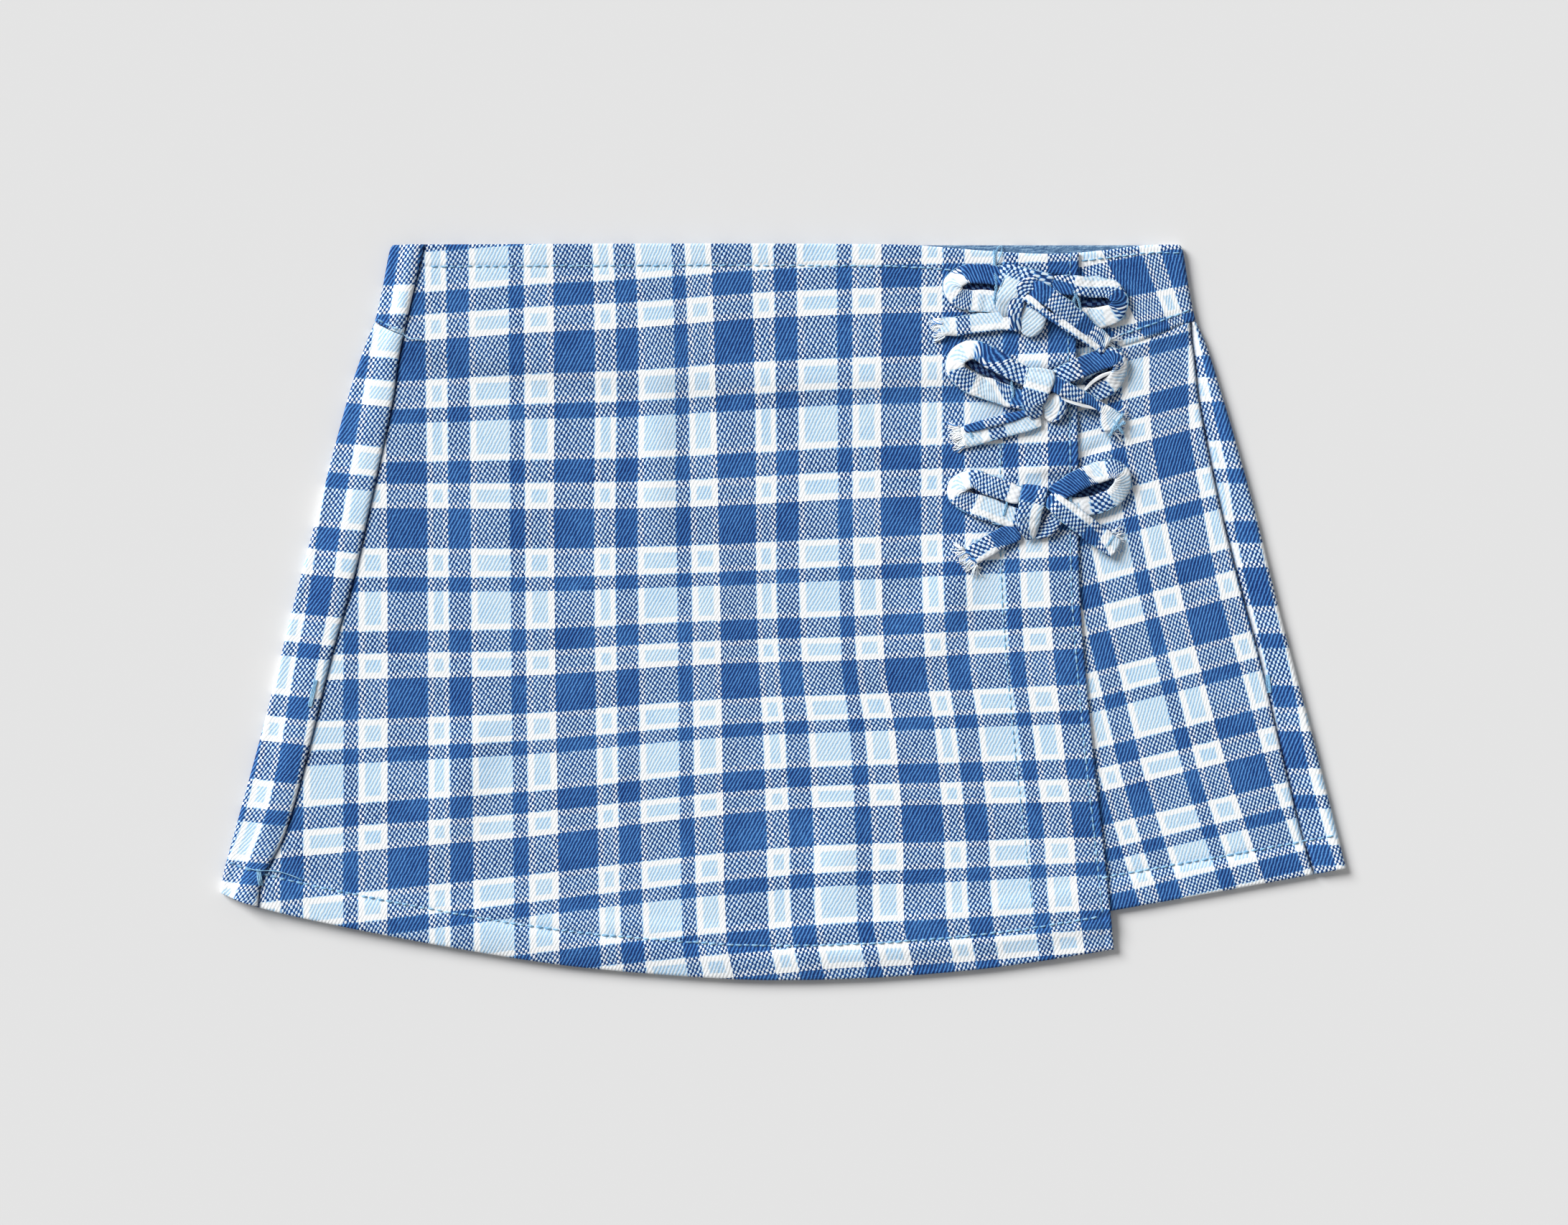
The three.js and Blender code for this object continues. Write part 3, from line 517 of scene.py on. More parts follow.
# Ravelled tie ends: picture x and y, the way they point in degrees, width and how many yarns
FRAYS = {
    "bow_1": [(1312, 458, 190, 6.8, 130), (1540, 484, -36, 6.0, 34)],
    "bow_2": [(1339, 610, 200, 7.8, 110), (1553, 590, -4, 7.0, 40)],
    "bow_3": [(1350, 778, 216, 7.0, 110), (1551, 753, 10, 6.0, 44)],
}

# Places on the check where both yarns are white, pale or indigo, and how often a loose yarn is.
# Sewing thread isn't woven, so it has no place there.
YARN_SPOTS = [(15.4, 15.4), (38.0, 36.0), (7.0, 7.0)]
YARN_SHARES = [0.58, 0.32, 0.1]
PLAIN_YARN = (0.0, 0.0, 1.0)
# Loose yarns: tufts to an end, and the shortest and longest reach and the radius in millimetres
FRAY_TUFTS = 9
FRAY_REACH = (1.6, 5.8)
FRAY_RADIUS = (0.15, 0.32)
STRAND_POINTS = 6

# The weave's two sets of diagonals, as turns per millimetre across and down the cloth
TWILL_LINES = (0.742, 0.411)
TWILL_STEPS = (0.503, -0.507)
# How far yarns and stripe edges stray, in millimetres, and the knots, as a part of their depth
YARN_BLEND = 0.32
YARN_STRAY = 0.7
STRIPE_WANDER = 0.5
KNOT_STRAY = 0.9
# Uneven yarns and patches: how much tone they add, and how a yarn's noise is stretched
SLUB_TONE = 0.2
PATCH_TONE = 0.18
YARN_SCALES = [(2.2, 0.16, 0.0), (0.16, 2.2, 0.0)]
LINING_SCALE = (0.35, 1.6, 0.0)
TIE_BLEACH = 0.04

# Scales of colour from dark to light: a place on the scale, then red, green and blue on screen
TWILL_COLOURS = [
    (0.0, 8, 36, 92), (0.07, 22, 58, 117), (0.15, 39, 81, 141), (0.25, 65, 123, 193),
    (0.4, 110, 170, 225), (0.55, 167, 206, 236), (0.68, 210, 228, 241), (0.82, 231, 239, 245),
    (0.94, 242, 245, 247),
]
THREAD_COLOURS = [(0.25, 84, 138, 182), (0.5, 126, 178, 212), (0.72, 190, 220, 238)]
LINING_COLOURS = [(0.32, 34, 68, 110), (0.48, 76, 112, 148), (0.66, 142, 174, 200)]
# The shaded blue that painted shade multiplies the cloth's colour towards
FOLD_SHADE = (88, 112, 144)
FLOOR_GREY = (223, 223, 223)

# Light: a soft sun from the upper left, its angle in degrees, and an even white sky
KEY_DIRECTION = (-0.82, 0.68, 0.68)
KEY_STRENGTH = 4.25
KEY_ANGLE = 30.0
SKY_LEVEL = 0.325
FLOOR_HALF = 6000.0


def smooth(value):
    part = np.clip(value, 0, 1)
    return part * part * (3 - 2 * part)


def mix(low, high, part):
    return low + (high - low) * part


def bell(distance, width):
    """1 on a line, fading to 0 on both sides of it."""
    return np.exp(-((distance / width) ** 2))


def curve(rows):
    """A smooth curve through (key, value) rows, straight past both ends."""
    keys, values = np.array(sorted(rows), float).T
    before = np.maximum(np.arange(len(keys)) - 1, 0)
    after = np.minimum(np.arange(len(keys)) + 1, len(keys) - 1)
    slopes = (values[after] - values[before]) / (keys[after] - keys[before])

    def at(place):
        place = np.asarray(place, float)
        index = np.clip(np.searchsorted(keys, place, side="right") - 1, 0, len(keys) - 2)
        span = keys[index + 1] - keys[index]
        part = np.clip((place - keys[index]) / span, 0, 1)
        square = part * part
        cube = square * part
        inside = (
            (2 * cube - 3 * square + 1) * values[index]
            + (cube - 2 * square + part) * span * slopes[index]
            + (3 * square - 2 * cube) * values[index + 1]
            + (cube - square) * span * slopes[index + 1]
        )
        below = slopes[0] * np.minimum(place - keys[0], 0)
        above = slopes[-1] * np.maximum(place - keys[-1], 0)
        return inside + below + above

    return at


def curves(*tables):
    return [curve(rows) for rows in tables]


left_side, right_side, left_seam, right_seam = curves(*[
    [(row[0], row[column]) for row in table] for table in (SIDES, SEAMS) for column in (1, 2)
])
wrap_edge, top_stitch, wrap_hem, leg_hem = curves(WRAP_EDGE, TOP_STITCH_LINE, WRAP_HEM, LEG_HEM)
front_top_line, back_top_line, band_line = curves(FRONT_TOP_LINE, BACK_TOP_LINE, BAND_LINE)


def leg_inner(y):
    part = np.clip((CROTCH_Y - y) / (CROTCH_Y - LEG_HEM_Y), 0, 1)
    return mix(HALF_GAP, LEG_PARTING, part)


def ripple(place, seed, wave):
    """Smooth uneven noise along a line, about -1 to 1."""
    knots = np.random.RandomState(seed).uniform(-1, 1, RIPPLE_KNOTS)
    place = np.asarray(place, float) / wave + RIPPLE_START
    cell = np.floor(place).astype(int)
    return mix(knots[cell % RIPPLE_KNOTS], knots[(cell + 1) % RIPPLE_KNOTS], smooth(place - cell))


def cloud(x, y, seed, wave):
    """Smooth uneven noise over a surface, about -1 to 1."""
    knots = np.random.RandomState(seed).uniform(-1, 1, (CLOUD_KNOTS, CLOUD_KNOTS))
    column = np.asarray(x, float) / wave + CLOUD_START
    row = np.asarray(y, float) / wave + CLOUD_START
    i = np.floor(column).astype(int)
    j = np.floor(row).astype(int)
    low, high = [
        mix(knots[line, i % CLOUD_KNOTS], knots[line, (i + 1) % CLOUD_KNOTS], smooth(column - i))
        for line in (j % CLOUD_KNOTS, (j + 1) % CLOUD_KNOTS)
    ]
    return mix(low, high, smooth(row - j))


def groove(distance, depth, width):
    return -depth * bell(distance, width)


def in_hem(distance):
    return smooth((HEM_DEPTH - distance) / HEM_BLEND)


def hem_relief(distance, along, seed):
    """A stitched hem: the line pulled in, and slanting puckers between it and the edge."""
    pull = 0.75 + 0.35 * ripple(along, seed, wave=7.0)
    line = groove(distance - HEM_STITCH, HEM_LINE_DEPTH, HEM_LINE_WIDTH) * pull
    inside = smooth(distance / 3) * smooth((HEM_STITCH - distance) / 3)
    roping = HEM_ROPING * inside * ripple(along + 0.7 * distance, seed + 1, wave=5.5)
    above = HEM_PUCKER * smooth(1 - (distance - HEM_STITCH) / 8) * (distance > HEM_STITCH)
    return line + roping + above * ripple(along - 0.3 * distance, seed + 2, wave=6.5)


def seam_relief(distance, along, at, seed, depth):
    """One row of topstitching a little way in from an edge."""
    pull = 0.8 + 0.3 * ripple(along, seed, wave=6.0)
    crowding = SEAM_PUCKER * bell(distance - at / 2, at) * ripple(along, seed + 1, wave=4.5)
    return groove(distance - at, depth, SEAM_LINE_WIDTH) * pull + crowding


def ridge_height(folds, x, y):
    height = 0.0
    for centre_x, centre_y, turn, reach, half, rise in folds:
        cos = math.cos(math.radians(turn))
        sin = math.sin(math.radians(turn))
        along = ((x - centre_x) * cos + (y - centre_y) * sin) / reach
        across = ((y - centre_y) * cos - (x - centre_x) * sin) / half
        height = height + rise * smooth(1 - np.abs(along)) * smooth(1 - np.abs(across))
    return height


def front_top(x, y):
    return FRONT_TOP + HEM_RISE * in_hem(y - leg_hem(x))


def wrap_bottom(x, y):
    onto_band = smooth(1 - (band_line(x) - HALF_WAIST_GAP - y) / BAND_CLIMB)
    past = smooth((leg_hem(x) - y) / DROOP_LENGTH)
    bed = mix(front_top(x, y), BAND_FRONT_TOP, onto_band)
    return bed + GAP - HEM_DROOP * past + ridge_height(WRAP_FOLDS, x, y)


def wrap_bed(x, y):
    """The wrap's face without its fine relief, which carries the bows and the left side strip."""
    return wrap_bottom(x, y) + CLOTH + HEM_RISE * in_hem(y - wrap_hem(x))


def wrap_top(x, y):
    """The wrap's face with its stitched hem, facings, creases and soft unevenness."""
    hem = hem_relief(y - wrap_hem(x), x, seed=11)
    edge = wrap_edge(y) - x
    side = seam_relief(edge, y, EDGE_STITCH, seed=21, depth=0.28)
    facing = FACING_RISE * smooth((FACING_WIDTH - edge) / 2)
    facing = facing + groove(edge - FACING_WIDTH, depth=0.1, width=1.4)
    top = front_top_line(x) - y
    line = top_stitch(x)
    head = seam_relief(top, x, line, seed=31, depth=0.3) + FACING_RISE * smooth((line + 1 - top) / 2)
    uneven = 0.16 * cloud(x, y, seed=41, wave=26.0) + 0.07 * cloud(x, y, seed=42, wave=9.0)
    relief = hem + side + facing + head + uneven - ridge_height(WRAP_CREASES, x, y)
    return wrap_bed(x, y) + relief


def stations(near, far, middle):
    """Lines of a grid: at set distances from both edges, and evenly spread between them."""
    near = np.array(near, float)
    far = np.array(far, float)
    parts = np.linspace(0, 1, middle + 2)[1:-1]
    share = np.concatenate([np.zeros(len(near)), parts, np.ones(len(far))])
    offset = np.concatenate([near, near[-1] * (1 - parts) - far[-1] * parts, -far[::-1]])
    return share, offset


def rim(distance, half):
    """How much of its thickness a wall keeps near a rounded edge."""
    depth = np.clip(1 - distance / half, 0, 1)
    return np.sqrt(np.clip(1 - depth * depth, RIM_LEAST, 1))


def solve_grid(columns, rows, x_at, low, high):
    """x and y of a grid whose columns follow x_at(y) and whose rows follow two lines in x."""
    share, offset = [part[:, None] for part in rows]
    y = mix(low(0.0), high(0.0), share) + offset + np.zeros((1, columns))
    for settling in range(SETTLE_ROUNDS):
        x = x_at(y)
        y = mix(low(x), high(x), share) + offset
    return x, y


def link(new_object):
    bpy.context.scene.collection.objects.link(new_object)
    return new_object


def mesh_object(name, points, faces, material, attributes=None, smooth_shade=True):
    mesh = bpy.data.meshes.new(name)
    mesh.from_pydata((np.asarray(points) * MM).tolist(), [], faces)
    mesh.update()
    if attributes is not None:
        layer = mesh.attributes.new("cloth", "FLOAT_VECTOR", "POINT")
        layer.data.foreach_set("vector", np.asarray(attributes, np.float32).ravel())
    if smooth_shade:
        mesh.shade_smooth()
    mesh.materials.append(material)
    return link(bpy.data.objects.new(name, mesh))


def shell(name, middle, normal, half, check, material, flip=False, lining=None):
    """A closed wall round a middle surface. half is the half thickness at each point."""
    rows, columns, _ = middle.shape
    outer = middle + normal * half[..., None]
    inner = middle - normal * half[..., None]
    points = np.concatenate([outer.reshape(-1, 3), inner.reshape(-1, 3)])
    layer = rows * columns
    index = np.arange(layer).reshape(rows, columns)
    a, b = index[:-1, :-1].ravel(), index[:-1, 1:].ravel()
    c, d = index[1:, 1:].ravel(), index[1:, :-1].ravel()
    quads = [np.stack([a, b, c, d], 1), np.stack([a, d, c, b], 1) + layer]
    loop = np.concatenate([index[0, :-1], index[:-1, -1], index[-1, :0:-1], index[:0:-1, 0]])
    ahead = np.roll(loop, -1)
    quads.append(np.stack([loop, loop + layer, ahead + layer, ahead], 1))
    faces = np.concatenate(quads)
    if flip:
        faces = faces[:, ::-1]
    both = np.concatenate([check.reshape(-1, 3)] * 2)
    piece = mesh_object(name, points, faces.tolist(), material, both)
    if lining is not None:
        piece.data.materials.append(lining)
        slots = np.zeros(len(faces), np.int32)
        slots[len(a):2 * len(a)] = 1
        piece.data.polygons.foreach_set("material_index", slots)
    return piece


def fan(lines, place, step):
    """Steps along a fan of lines: 0 on the first, step on the second, and true size outside."""
    total = np.minimum(place - lines[0], 0) + np.maximum(place - lines[-1], 0)
    for near, far in zip(lines[:-1], lines[1:]):
        total = total + step * np.clip((place - near) / (far - near), 0, 1)
    return total


def down_the_wefts(tops, level):
    """Place down a piece whose widest indigo bands start at these heights."""
    return fan([-top for top in tops], -level, WEFT_REPEAT)


def lean(aside):
    return np.clip(aside, -STRIPE_LEAN_REACH, STRIPE_LEAN_REACH)


def check_attribute(u, v, tone):
    return np.stack([u, v, np.broadcast_to(tone, u.shape)], -1)


wrap_warps = curves(*WRAP_WARP_LINES)
wrap_wefts = curves(*[list(zip(WRAP_WEFT_PLACES, heights)) for heights in WRAP_WEFT_HEIGHTS])
front_warp, left_stripe, right_stripe = curves(FRONT_WARP_LINE, LEFT_STRIPE, RIGHT_STRIPE)
band_left_stripe, *band_right_lines = curves(BAND_LEFT_STRIPE, *BAND_RIGHT_LINES)


def wrap_check(x, y):
    from_x, from_y = x, y
    for centre_x, centre_y, reach_x, reach_y, right, up in WRAP_PULLS:
        near = np.exp(-(((x - centre_x) / reach_x) ** 2) - ((y - centre_y) / reach_y) ** 2)
        from_x = from_x - right * near
        from_y = from_y - up * near
    u = fan([line(from_y) for line in wrap_warps], from_x, WARP_REPEAT)
    v = fan([-line(from_x) for line in wrap_wefts], -from_y, WEFT_REPEAT)
    return u, v


def front_check(x, y):
    aside = x - front_warp(y)
    low = np.clip((FRONT_SPREAD_TOP - y) / FRONT_SPREAD_DEPTH, 0, 1)
    level = y - mix(*FRONT_WEFT_RISE, low) * aside
    return aside / mix(*FRONT_WARP_SCALE, low), down_the_wefts(FRONT_WEFTS, level)


def left_back_check(x, y):
    aside = x - left_stripe(y)
    return aside + STRIPE_MIDDLE, down_the_wefts(LEFT_WEFTS, y + LEFT_WEFT_FALL * lean(aside))


def right_back_check(x, y):
    return x - right_stripe(y) + STRIPE_MIDDLE, down_the_wefts(RIGHT_WEFTS, y)


def band_front_check(x, y):
    first, second = [line(y) for line in band_right_lines]
    level = y - BAND_RIGHT_RISE * lean(x - first)
    return fan([first, second], x, BAND_RIGHT_STEP), down_the_wefts(BAND_RIGHT_WEFTS, level)


def band_back_check(x, y):
    return x - band_left_stripe(y), down_the_wefts(BAND_LEFT_WEFTS, y)


def folded_grid(side, size, radius, rows, lines):
    """Columns that run on the ground to the garment's side, round it and back on top.
    """
    side_line = left_side if side < 0 else right_side
    under, turn, over = size
    sequence = np.arange(under + turn + over + 1)
    on_ground = np.clip(sequence / under, 0, 1)[None, :]
    angle = math.pi * np.clip((sequence - under) / turn, 0, 1)[None, :]
    # The last lines of the top stretch lie closer together, for its rounded edge
    top_part = 1 - (1 - np.clip((sequence - under - turn) / over, 0, 1)[None, :]) ** EDGE_CROWDING

    def x_at(y):
        centre = side_line(y) - side * radius
        ground = mix(lines["first"](y), centre, on_ground)
        top = mix(centre, lines["last"](y), top_part)
        bend = radius * side * np.sin(angle)
        return np.where(sequence[None, :] <= under, ground, top) + bend

    x, y = solve_grid(len(sequence), rows, x_at, lines["low"], lines["high"])
    centre = side_line(y) - side * radius
    sin = np.broadcast_to(side * np.sin(angle), x.shape)
    cos = np.broadcast_to(-np.cos(angle), x.shape)
    normal = np.stack([sin, np.zeros_like(x), cos], -1)
    edge = centre + side * radius
    unfolded = np.where(sequence[None, :] <= under + turn // 2, edge + (edge - x), x)
    part = np.broadcast_to(top_part, x.shape)
    return x, y, radius * (1 + cos), normal, unfolded, part


def declare_sheet(piece, node, flat, area):
    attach(piece, "root")
    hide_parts(node)
    return piece


def folded_shell(side, plan, radius, thickness, rows, lines, face, material, lining=None):
    """A wall on the ground that turns over at the garment's side and comes back on top of it.

    The plan is its name, columns and check. face gives its height and its tone, which carries
    painted shade, from x, y, the height of the plain fold, the part over the top and the distance to
    the end there.
    """
    name, columns, check = plan
    x, y, z, normal, unfolded, part = folded_grid(side, columns, radius, rows, lines)
    to_end = np.abs(lines["last"](y) - x)
    z, tone = face(x, y, z, part, to_end)
    half = thickness / 2
    keep = rim(y - lines["low"](x), half) * rim(lines["high"](x) - y, half)
    keep = keep * np.where(part > 0, rim(to_end, half), 1)
    middle = np.stack([x, y, z], -1) - normal * thickness / 2
    attribute = check_attribute(*check(unfolded, y), tone)
    return shell(name, middle, normal, half * keep, attribute, material, side > 0, lining)


def make_back(side, material):
    """A back leg, seamed to the front on top. On the left it lies over the wrap's sewn edge."""
    lines = {"low": leg_hem, "high": lambda x: band_line(x) - HALF_WAIST_GAP}
    if side < 0:
        node, plan = "back_panel_left", ("back_left", BACK_COLUMNS, left_back_check)
        lines |= {"first": lambda y: -leg_inner(y), "last": left_seam}
        top = lambda x, y: wrap_bed(x, y) + LAP_GAP + CLOTH
        dip, shade = 0.45, 0.5
    else:
        node, plan = "back_panel_right", ("back_right", BACK_COLUMNS, right_back_check)
        lines |= {"first": leg_inner, "last": lambda y: right_seam(y) + HALF_GAP}
        top = front_top
        dip, shade = 0.75, 0.8

    def face(x, y, z, part, to_seam):
        z = np.where(part > 0, mix(2 * SIDE_FOLD_RADIUS, top(x, y), smooth(part / STRIP_SLOPE)), z)
        on_top = smooth(part * 4)
        hem = hem_relief(y - leg_hem(x), x + y, seed=51 + side)
        z = z + on_top * (hem + 0.14 * cloud(x, y, seed=61 + side, wave=13.0))
        z = z - on_top * dip * bell(to_seam, SEAM_DIP_WIDTH)
        # Painted shade: the tone is darker along the side seam
        return z, 1 - shade * on_top * bell(to_seam, SEAM_SHADE_WIDTH)

    rows = stations(HEM_EDGE, SOFT_EDGE, BACK_ROWS)
    piece = folded_shell(side, plan, SIDE_FOLD_RADIUS, CLOTH, rows, lines, face, material)
    return declare_sheet(piece, node, *BACK_SHEET)


def flat_panel(name, grid, edges, lines, bottom, top, check, material, shade=None):
    """A panel that lies flat between a left and a right line and two lines in x."""
    low_edge, high_edge, side_edge = edges
    rows = stations(low_edge, high_edge, grid[0])
    share, offset = stations(side_edge, side_edge, grid[1])
    left, right, low_line, high_line = lines
    x_at = lambda y: mix(left(y), right(y), share[None, :]) + offset[None, :]
    x, y = solve_grid(len(share), rows, x_at, low_line, high_line)
    low = bottom(x, y)
    high = top(x, y)
    half = (high - low) / 2
    keep = rim(y - low_line(x), half) * rim(high_line(x) - y, half)
    keep = keep * rim(x - left(y), half) * rim(right(y) - x, half)
    middle = np.stack([x, y, (high + low) / 2], -1)
    normal = np.broadcast_to(np.array([0.0, 0.0, 1.0]), middle.shape)
    # shade, where given, is painted shade taken off the tone
    tone = 1 - shade(x, y) if shade else 1.0
    return shell(name, middle, normal, half * keep, check_attribute(*check(x, y), tone), material)


def front_relief(x, y):
    """The right front's face: its hem, its lip along the side seam, and the waist seam."""
    hem = hem_relief(y - leg_hem(x), x, seed=71)
    to_seam = right_seam(y) - x
    upper = smooth((y + 20) / 60)
    lip = upper * (LIP_RISE * smooth(1 - to_seam / LIP_WIDTH)) - LIP_RISE * bell(to_seam, NOTCH_WIDTH)
    to_band = band_line(x) - HALF_WAIST_GAP - y
    near_band = smooth(1 - to_band / WAIST_WIDTH)
    waist = WAIST_RISE * near_band - WAIST_NOTCH * bell(to_band, NOTCH_WIDTH)
    waist = waist + WAIST_PUCKER * near_band * ripple(x, seed=73, wave=5.0)
    uneven = 0.15 * cloud(x, y, seed=74, wave=21.0) + 0.06 * cloud(x, y, seed=75, wave=8.0)
    uneven = uneven - ridge_height(FRONT_CREASES, x, y)
    return front_top(x, y) + hem + lip * (x > LIP_FROM_X) + waist + uneven


def make_fronts(material):
    """The left front, hidden under the wrap, and the right front, tucked in under its waistband."""
    bottom = lambda x, y: FRONT_BOTTOM + 0 * x
    left = flat_panel(
        "front_left", FRONT_LEFT_GRID, (HEM_EDGE, SOFT_EDGE, SOFT_EDGE),
        (
            lambda y: left_seam(y) - SEAM_LAP, lambda y: -leg_inner(y),
            leg_hem, lambda x: band_line(x) - HALF_WAIST_GAP,
        ),
        bottom, front_top, front_check, material,
    )
    right = flat_panel(
        "front_right", FRONT_RIGHT_GRID, (HEM_EDGE, SOFT_EDGE, SOFT_EDGE),
        (leg_inner, lambda y: right_seam(y) - HALF_GAP, leg_hem, lambda x: band_line(x) + TUCK_UNDER),
        bottom, front_relief, front_check, material,
        # Painted shade along the right side seam
        lambda x, y: 0.8 * bell(right_seam(y) - x, 0.7),
    )
    return [
        declare_sheet(left, "front_panel_left", *FRONT_LEFT_SHEET),
        declare_sheet(right, "front_panel_right", *FRONT_RIGHT_SHEET),
    ]


def make_band(side, material, lining=None):
    """A waistband. The back one turns over at the left side, the front one at the right."""
    turn_under = lambda y: right_side(y) - BAND_TURN_UNDER
    lines = {"low": lambda x: band_line(x) + HALF_WAIST_GAP}
    if side < 0:
        node, plan = "waistband_back", ("band_back", BAND_BACK_COLUMNS, band_back_check)
        lines |= {"first": lambda y: turn_under(y) - HALF_GAP, "last": left_seam, "high": back_top_line}
    else:
        node, plan = "waistband_front", ("band_front", BAND_FRONT_COLUMNS, band_front_check)
        lines |= {
            "first": lambda y: turn_under(y) + HALF_GAP, "last": lambda y: left_seam(y) - SEAM_LAP,
            "high": front_top_line,
        }

    def face(x, y, z, part, to_end):
        if side < 0:
            level = wrap_bed(x, y) + GAP + BAND_CLOTH - BAND_SINK
            level = mix(2 * BAND_FOLD_RADIUS, level, smooth(part / STRIP_SLOPE))
            on_top = smooth(part * 4)
            dip = 0.5 * bell(to_end, SEAM_DIP_WIDTH) * on_top
        else:
            level = BAND_FRONT_TOP
            on_top = smooth(part * 60)
            dip = 0.0
        from_low = y - lines["low"](x)
        low_line = seam_relief(from_low, x, BAND_STITCH, seed=81, depth=0.75)
        high_line = seam_relief(lines["high"](x) - y, x, EDGE_STITCH, seed=83, depth=0.3)
        relief = low_line + high_line - 0.3 * bell(from_low, 1.0)
        relief = relief + 0.12 * cloud(x, y, seed=85, wave=12.0)
        relief = relief - ridge_height(BAND_CREASES if side > 0 else [], x, y)
        z = np.where(part > 0, level, z) + on_top * relief - dip
        # Painted shade along the groove of the waistband's lower stitching
        return z, 1 - 0.7 * on_top * bell(from_low - BAND_STITCH + 0.6, 0.6)

    rows = stations(SOFT_EDGE, SOFT_EDGE, BAND_ROWS)
    piece = folded_shell(side, plan, BAND_FOLD_RADIUS, BAND_CLOTH, rows, lines, face, material, lining)
    return declare_sheet(piece, node, *BAND_SHEET)


def make_wrap(material):
    wrap = flat_panel(
        "wrap", WRAP_GRID, (HEM_EDGE, TOP_EDGE, STITCHED_EDGE),
        (lambda y: left_seam(y) - SEAM_LAP, wrap_edge, wrap_hem, front_top_line),
        wrap_bottom, wrap_top, wrap_check, material,
        # Painted shade beside the left side seam, where the strip laps over the wrap
        lambda x, y: 1.1 * bell(x - left_seam(y), SEAM_SHADE_WIDTH),
    )
    return declare_sheet(wrap, "wrap_panel", *WRAP_SHEET)


def spot(across, down):
    """A place in the picture, in millimetres on the garment."""
    return (across - PICTURE_X) / PICTURE_SCALE, (PICTURE_Y - down) / PICTURE_SCALE


def travelled(x, y):
    """How far along a path each of its points lies."""
    return np.concatenate([[0], np.cumsum(np.hypot(np.diff(x), np.diff(y)))])


def follow(keys, columns, at):
    """Each column of values, which belong to the keys, read smoothly at other places."""
    return [curve(list(zip(keys, column)))(at) for column in columns]


def tie_bed(x, y):
    """What the ties lie on: the wrap, and past its edge the front a little lower."""
    off = smooth((x - wrap_edge(y) + 1) / 7)
    beside = np.where(y > band_line(x), BAND_FRONT_TOP, FRONT_TOP)
    return mix(wrap_bed(x, y), beside + 0.5, off)


class Build:
    """Collects points, cloth coordinates and faces of many small bodies for one mesh."""

    def __init__(self):
        self.points = []
        self.check = []
        self.faces = []
        self.count = 0

    def rings(self, rings, check):
        """A closed body from rings of points, with a cap over each end."""
        steps, sides, _ = rings.shape
        first = self.count
        for step in range(steps - 1):
            for side in range(sides):
                a = first + step * sides + side
                b = first + step * sides + (side + 1) % sides
                self.faces.append((a, b, b + sides, a + sides))
        last = first + (steps - 1) * sides
        self.faces.append(tuple(range(first + sides - 1, first - 1, -1)))
        self.faces.append(tuple(range(last, last + sides)))
        self.points.append(rings.reshape(-1, 3))
        self.check.append(check.reshape(-1, 3))
        self.count += steps * sides

    def strand(self, points, radius, sides, check=PLAIN_YARN):
        """A thin round thread through a few points."""
        points = np.array(points, float)
        ahead = np.gradient(points, axis=0)
        ahead /= np.linalg.norm(ahead, axis=1)[:, None]
        side_way = np.cross(ahead, [0.0, 0.0, 1.0])
        side_way /= np.maximum(np.linalg.norm(side_way, axis=1), 1e-6)[:, None]
        up_way = np.cross(side_way, ahead)
        angle = np.linspace(0, 2 * math.pi, sides, endpoint=False)[None, :, None]
        radius = np.broadcast_to(radius, len(points))[:, None, None]
        around = side_way[:, None, :] * np.cos(angle) + up_way[:, None, :] * np.sin(angle)
        rings = points[:, None, :] + radius * around
        self.rings(rings, np.broadcast_to(np.array(check, float), rings.shape))

    def make(self, name, material, slot):
        check = np.concatenate(self.check)
        piece = mesh_object(name, np.concatenate(self.points), self.faces, material, check)
        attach(piece, "root")
        return piece


def signed_power(value, power):
    """A power that keeps the sign, which squares a round section off."""
    return np.sign(value) * np.abs(value) ** power


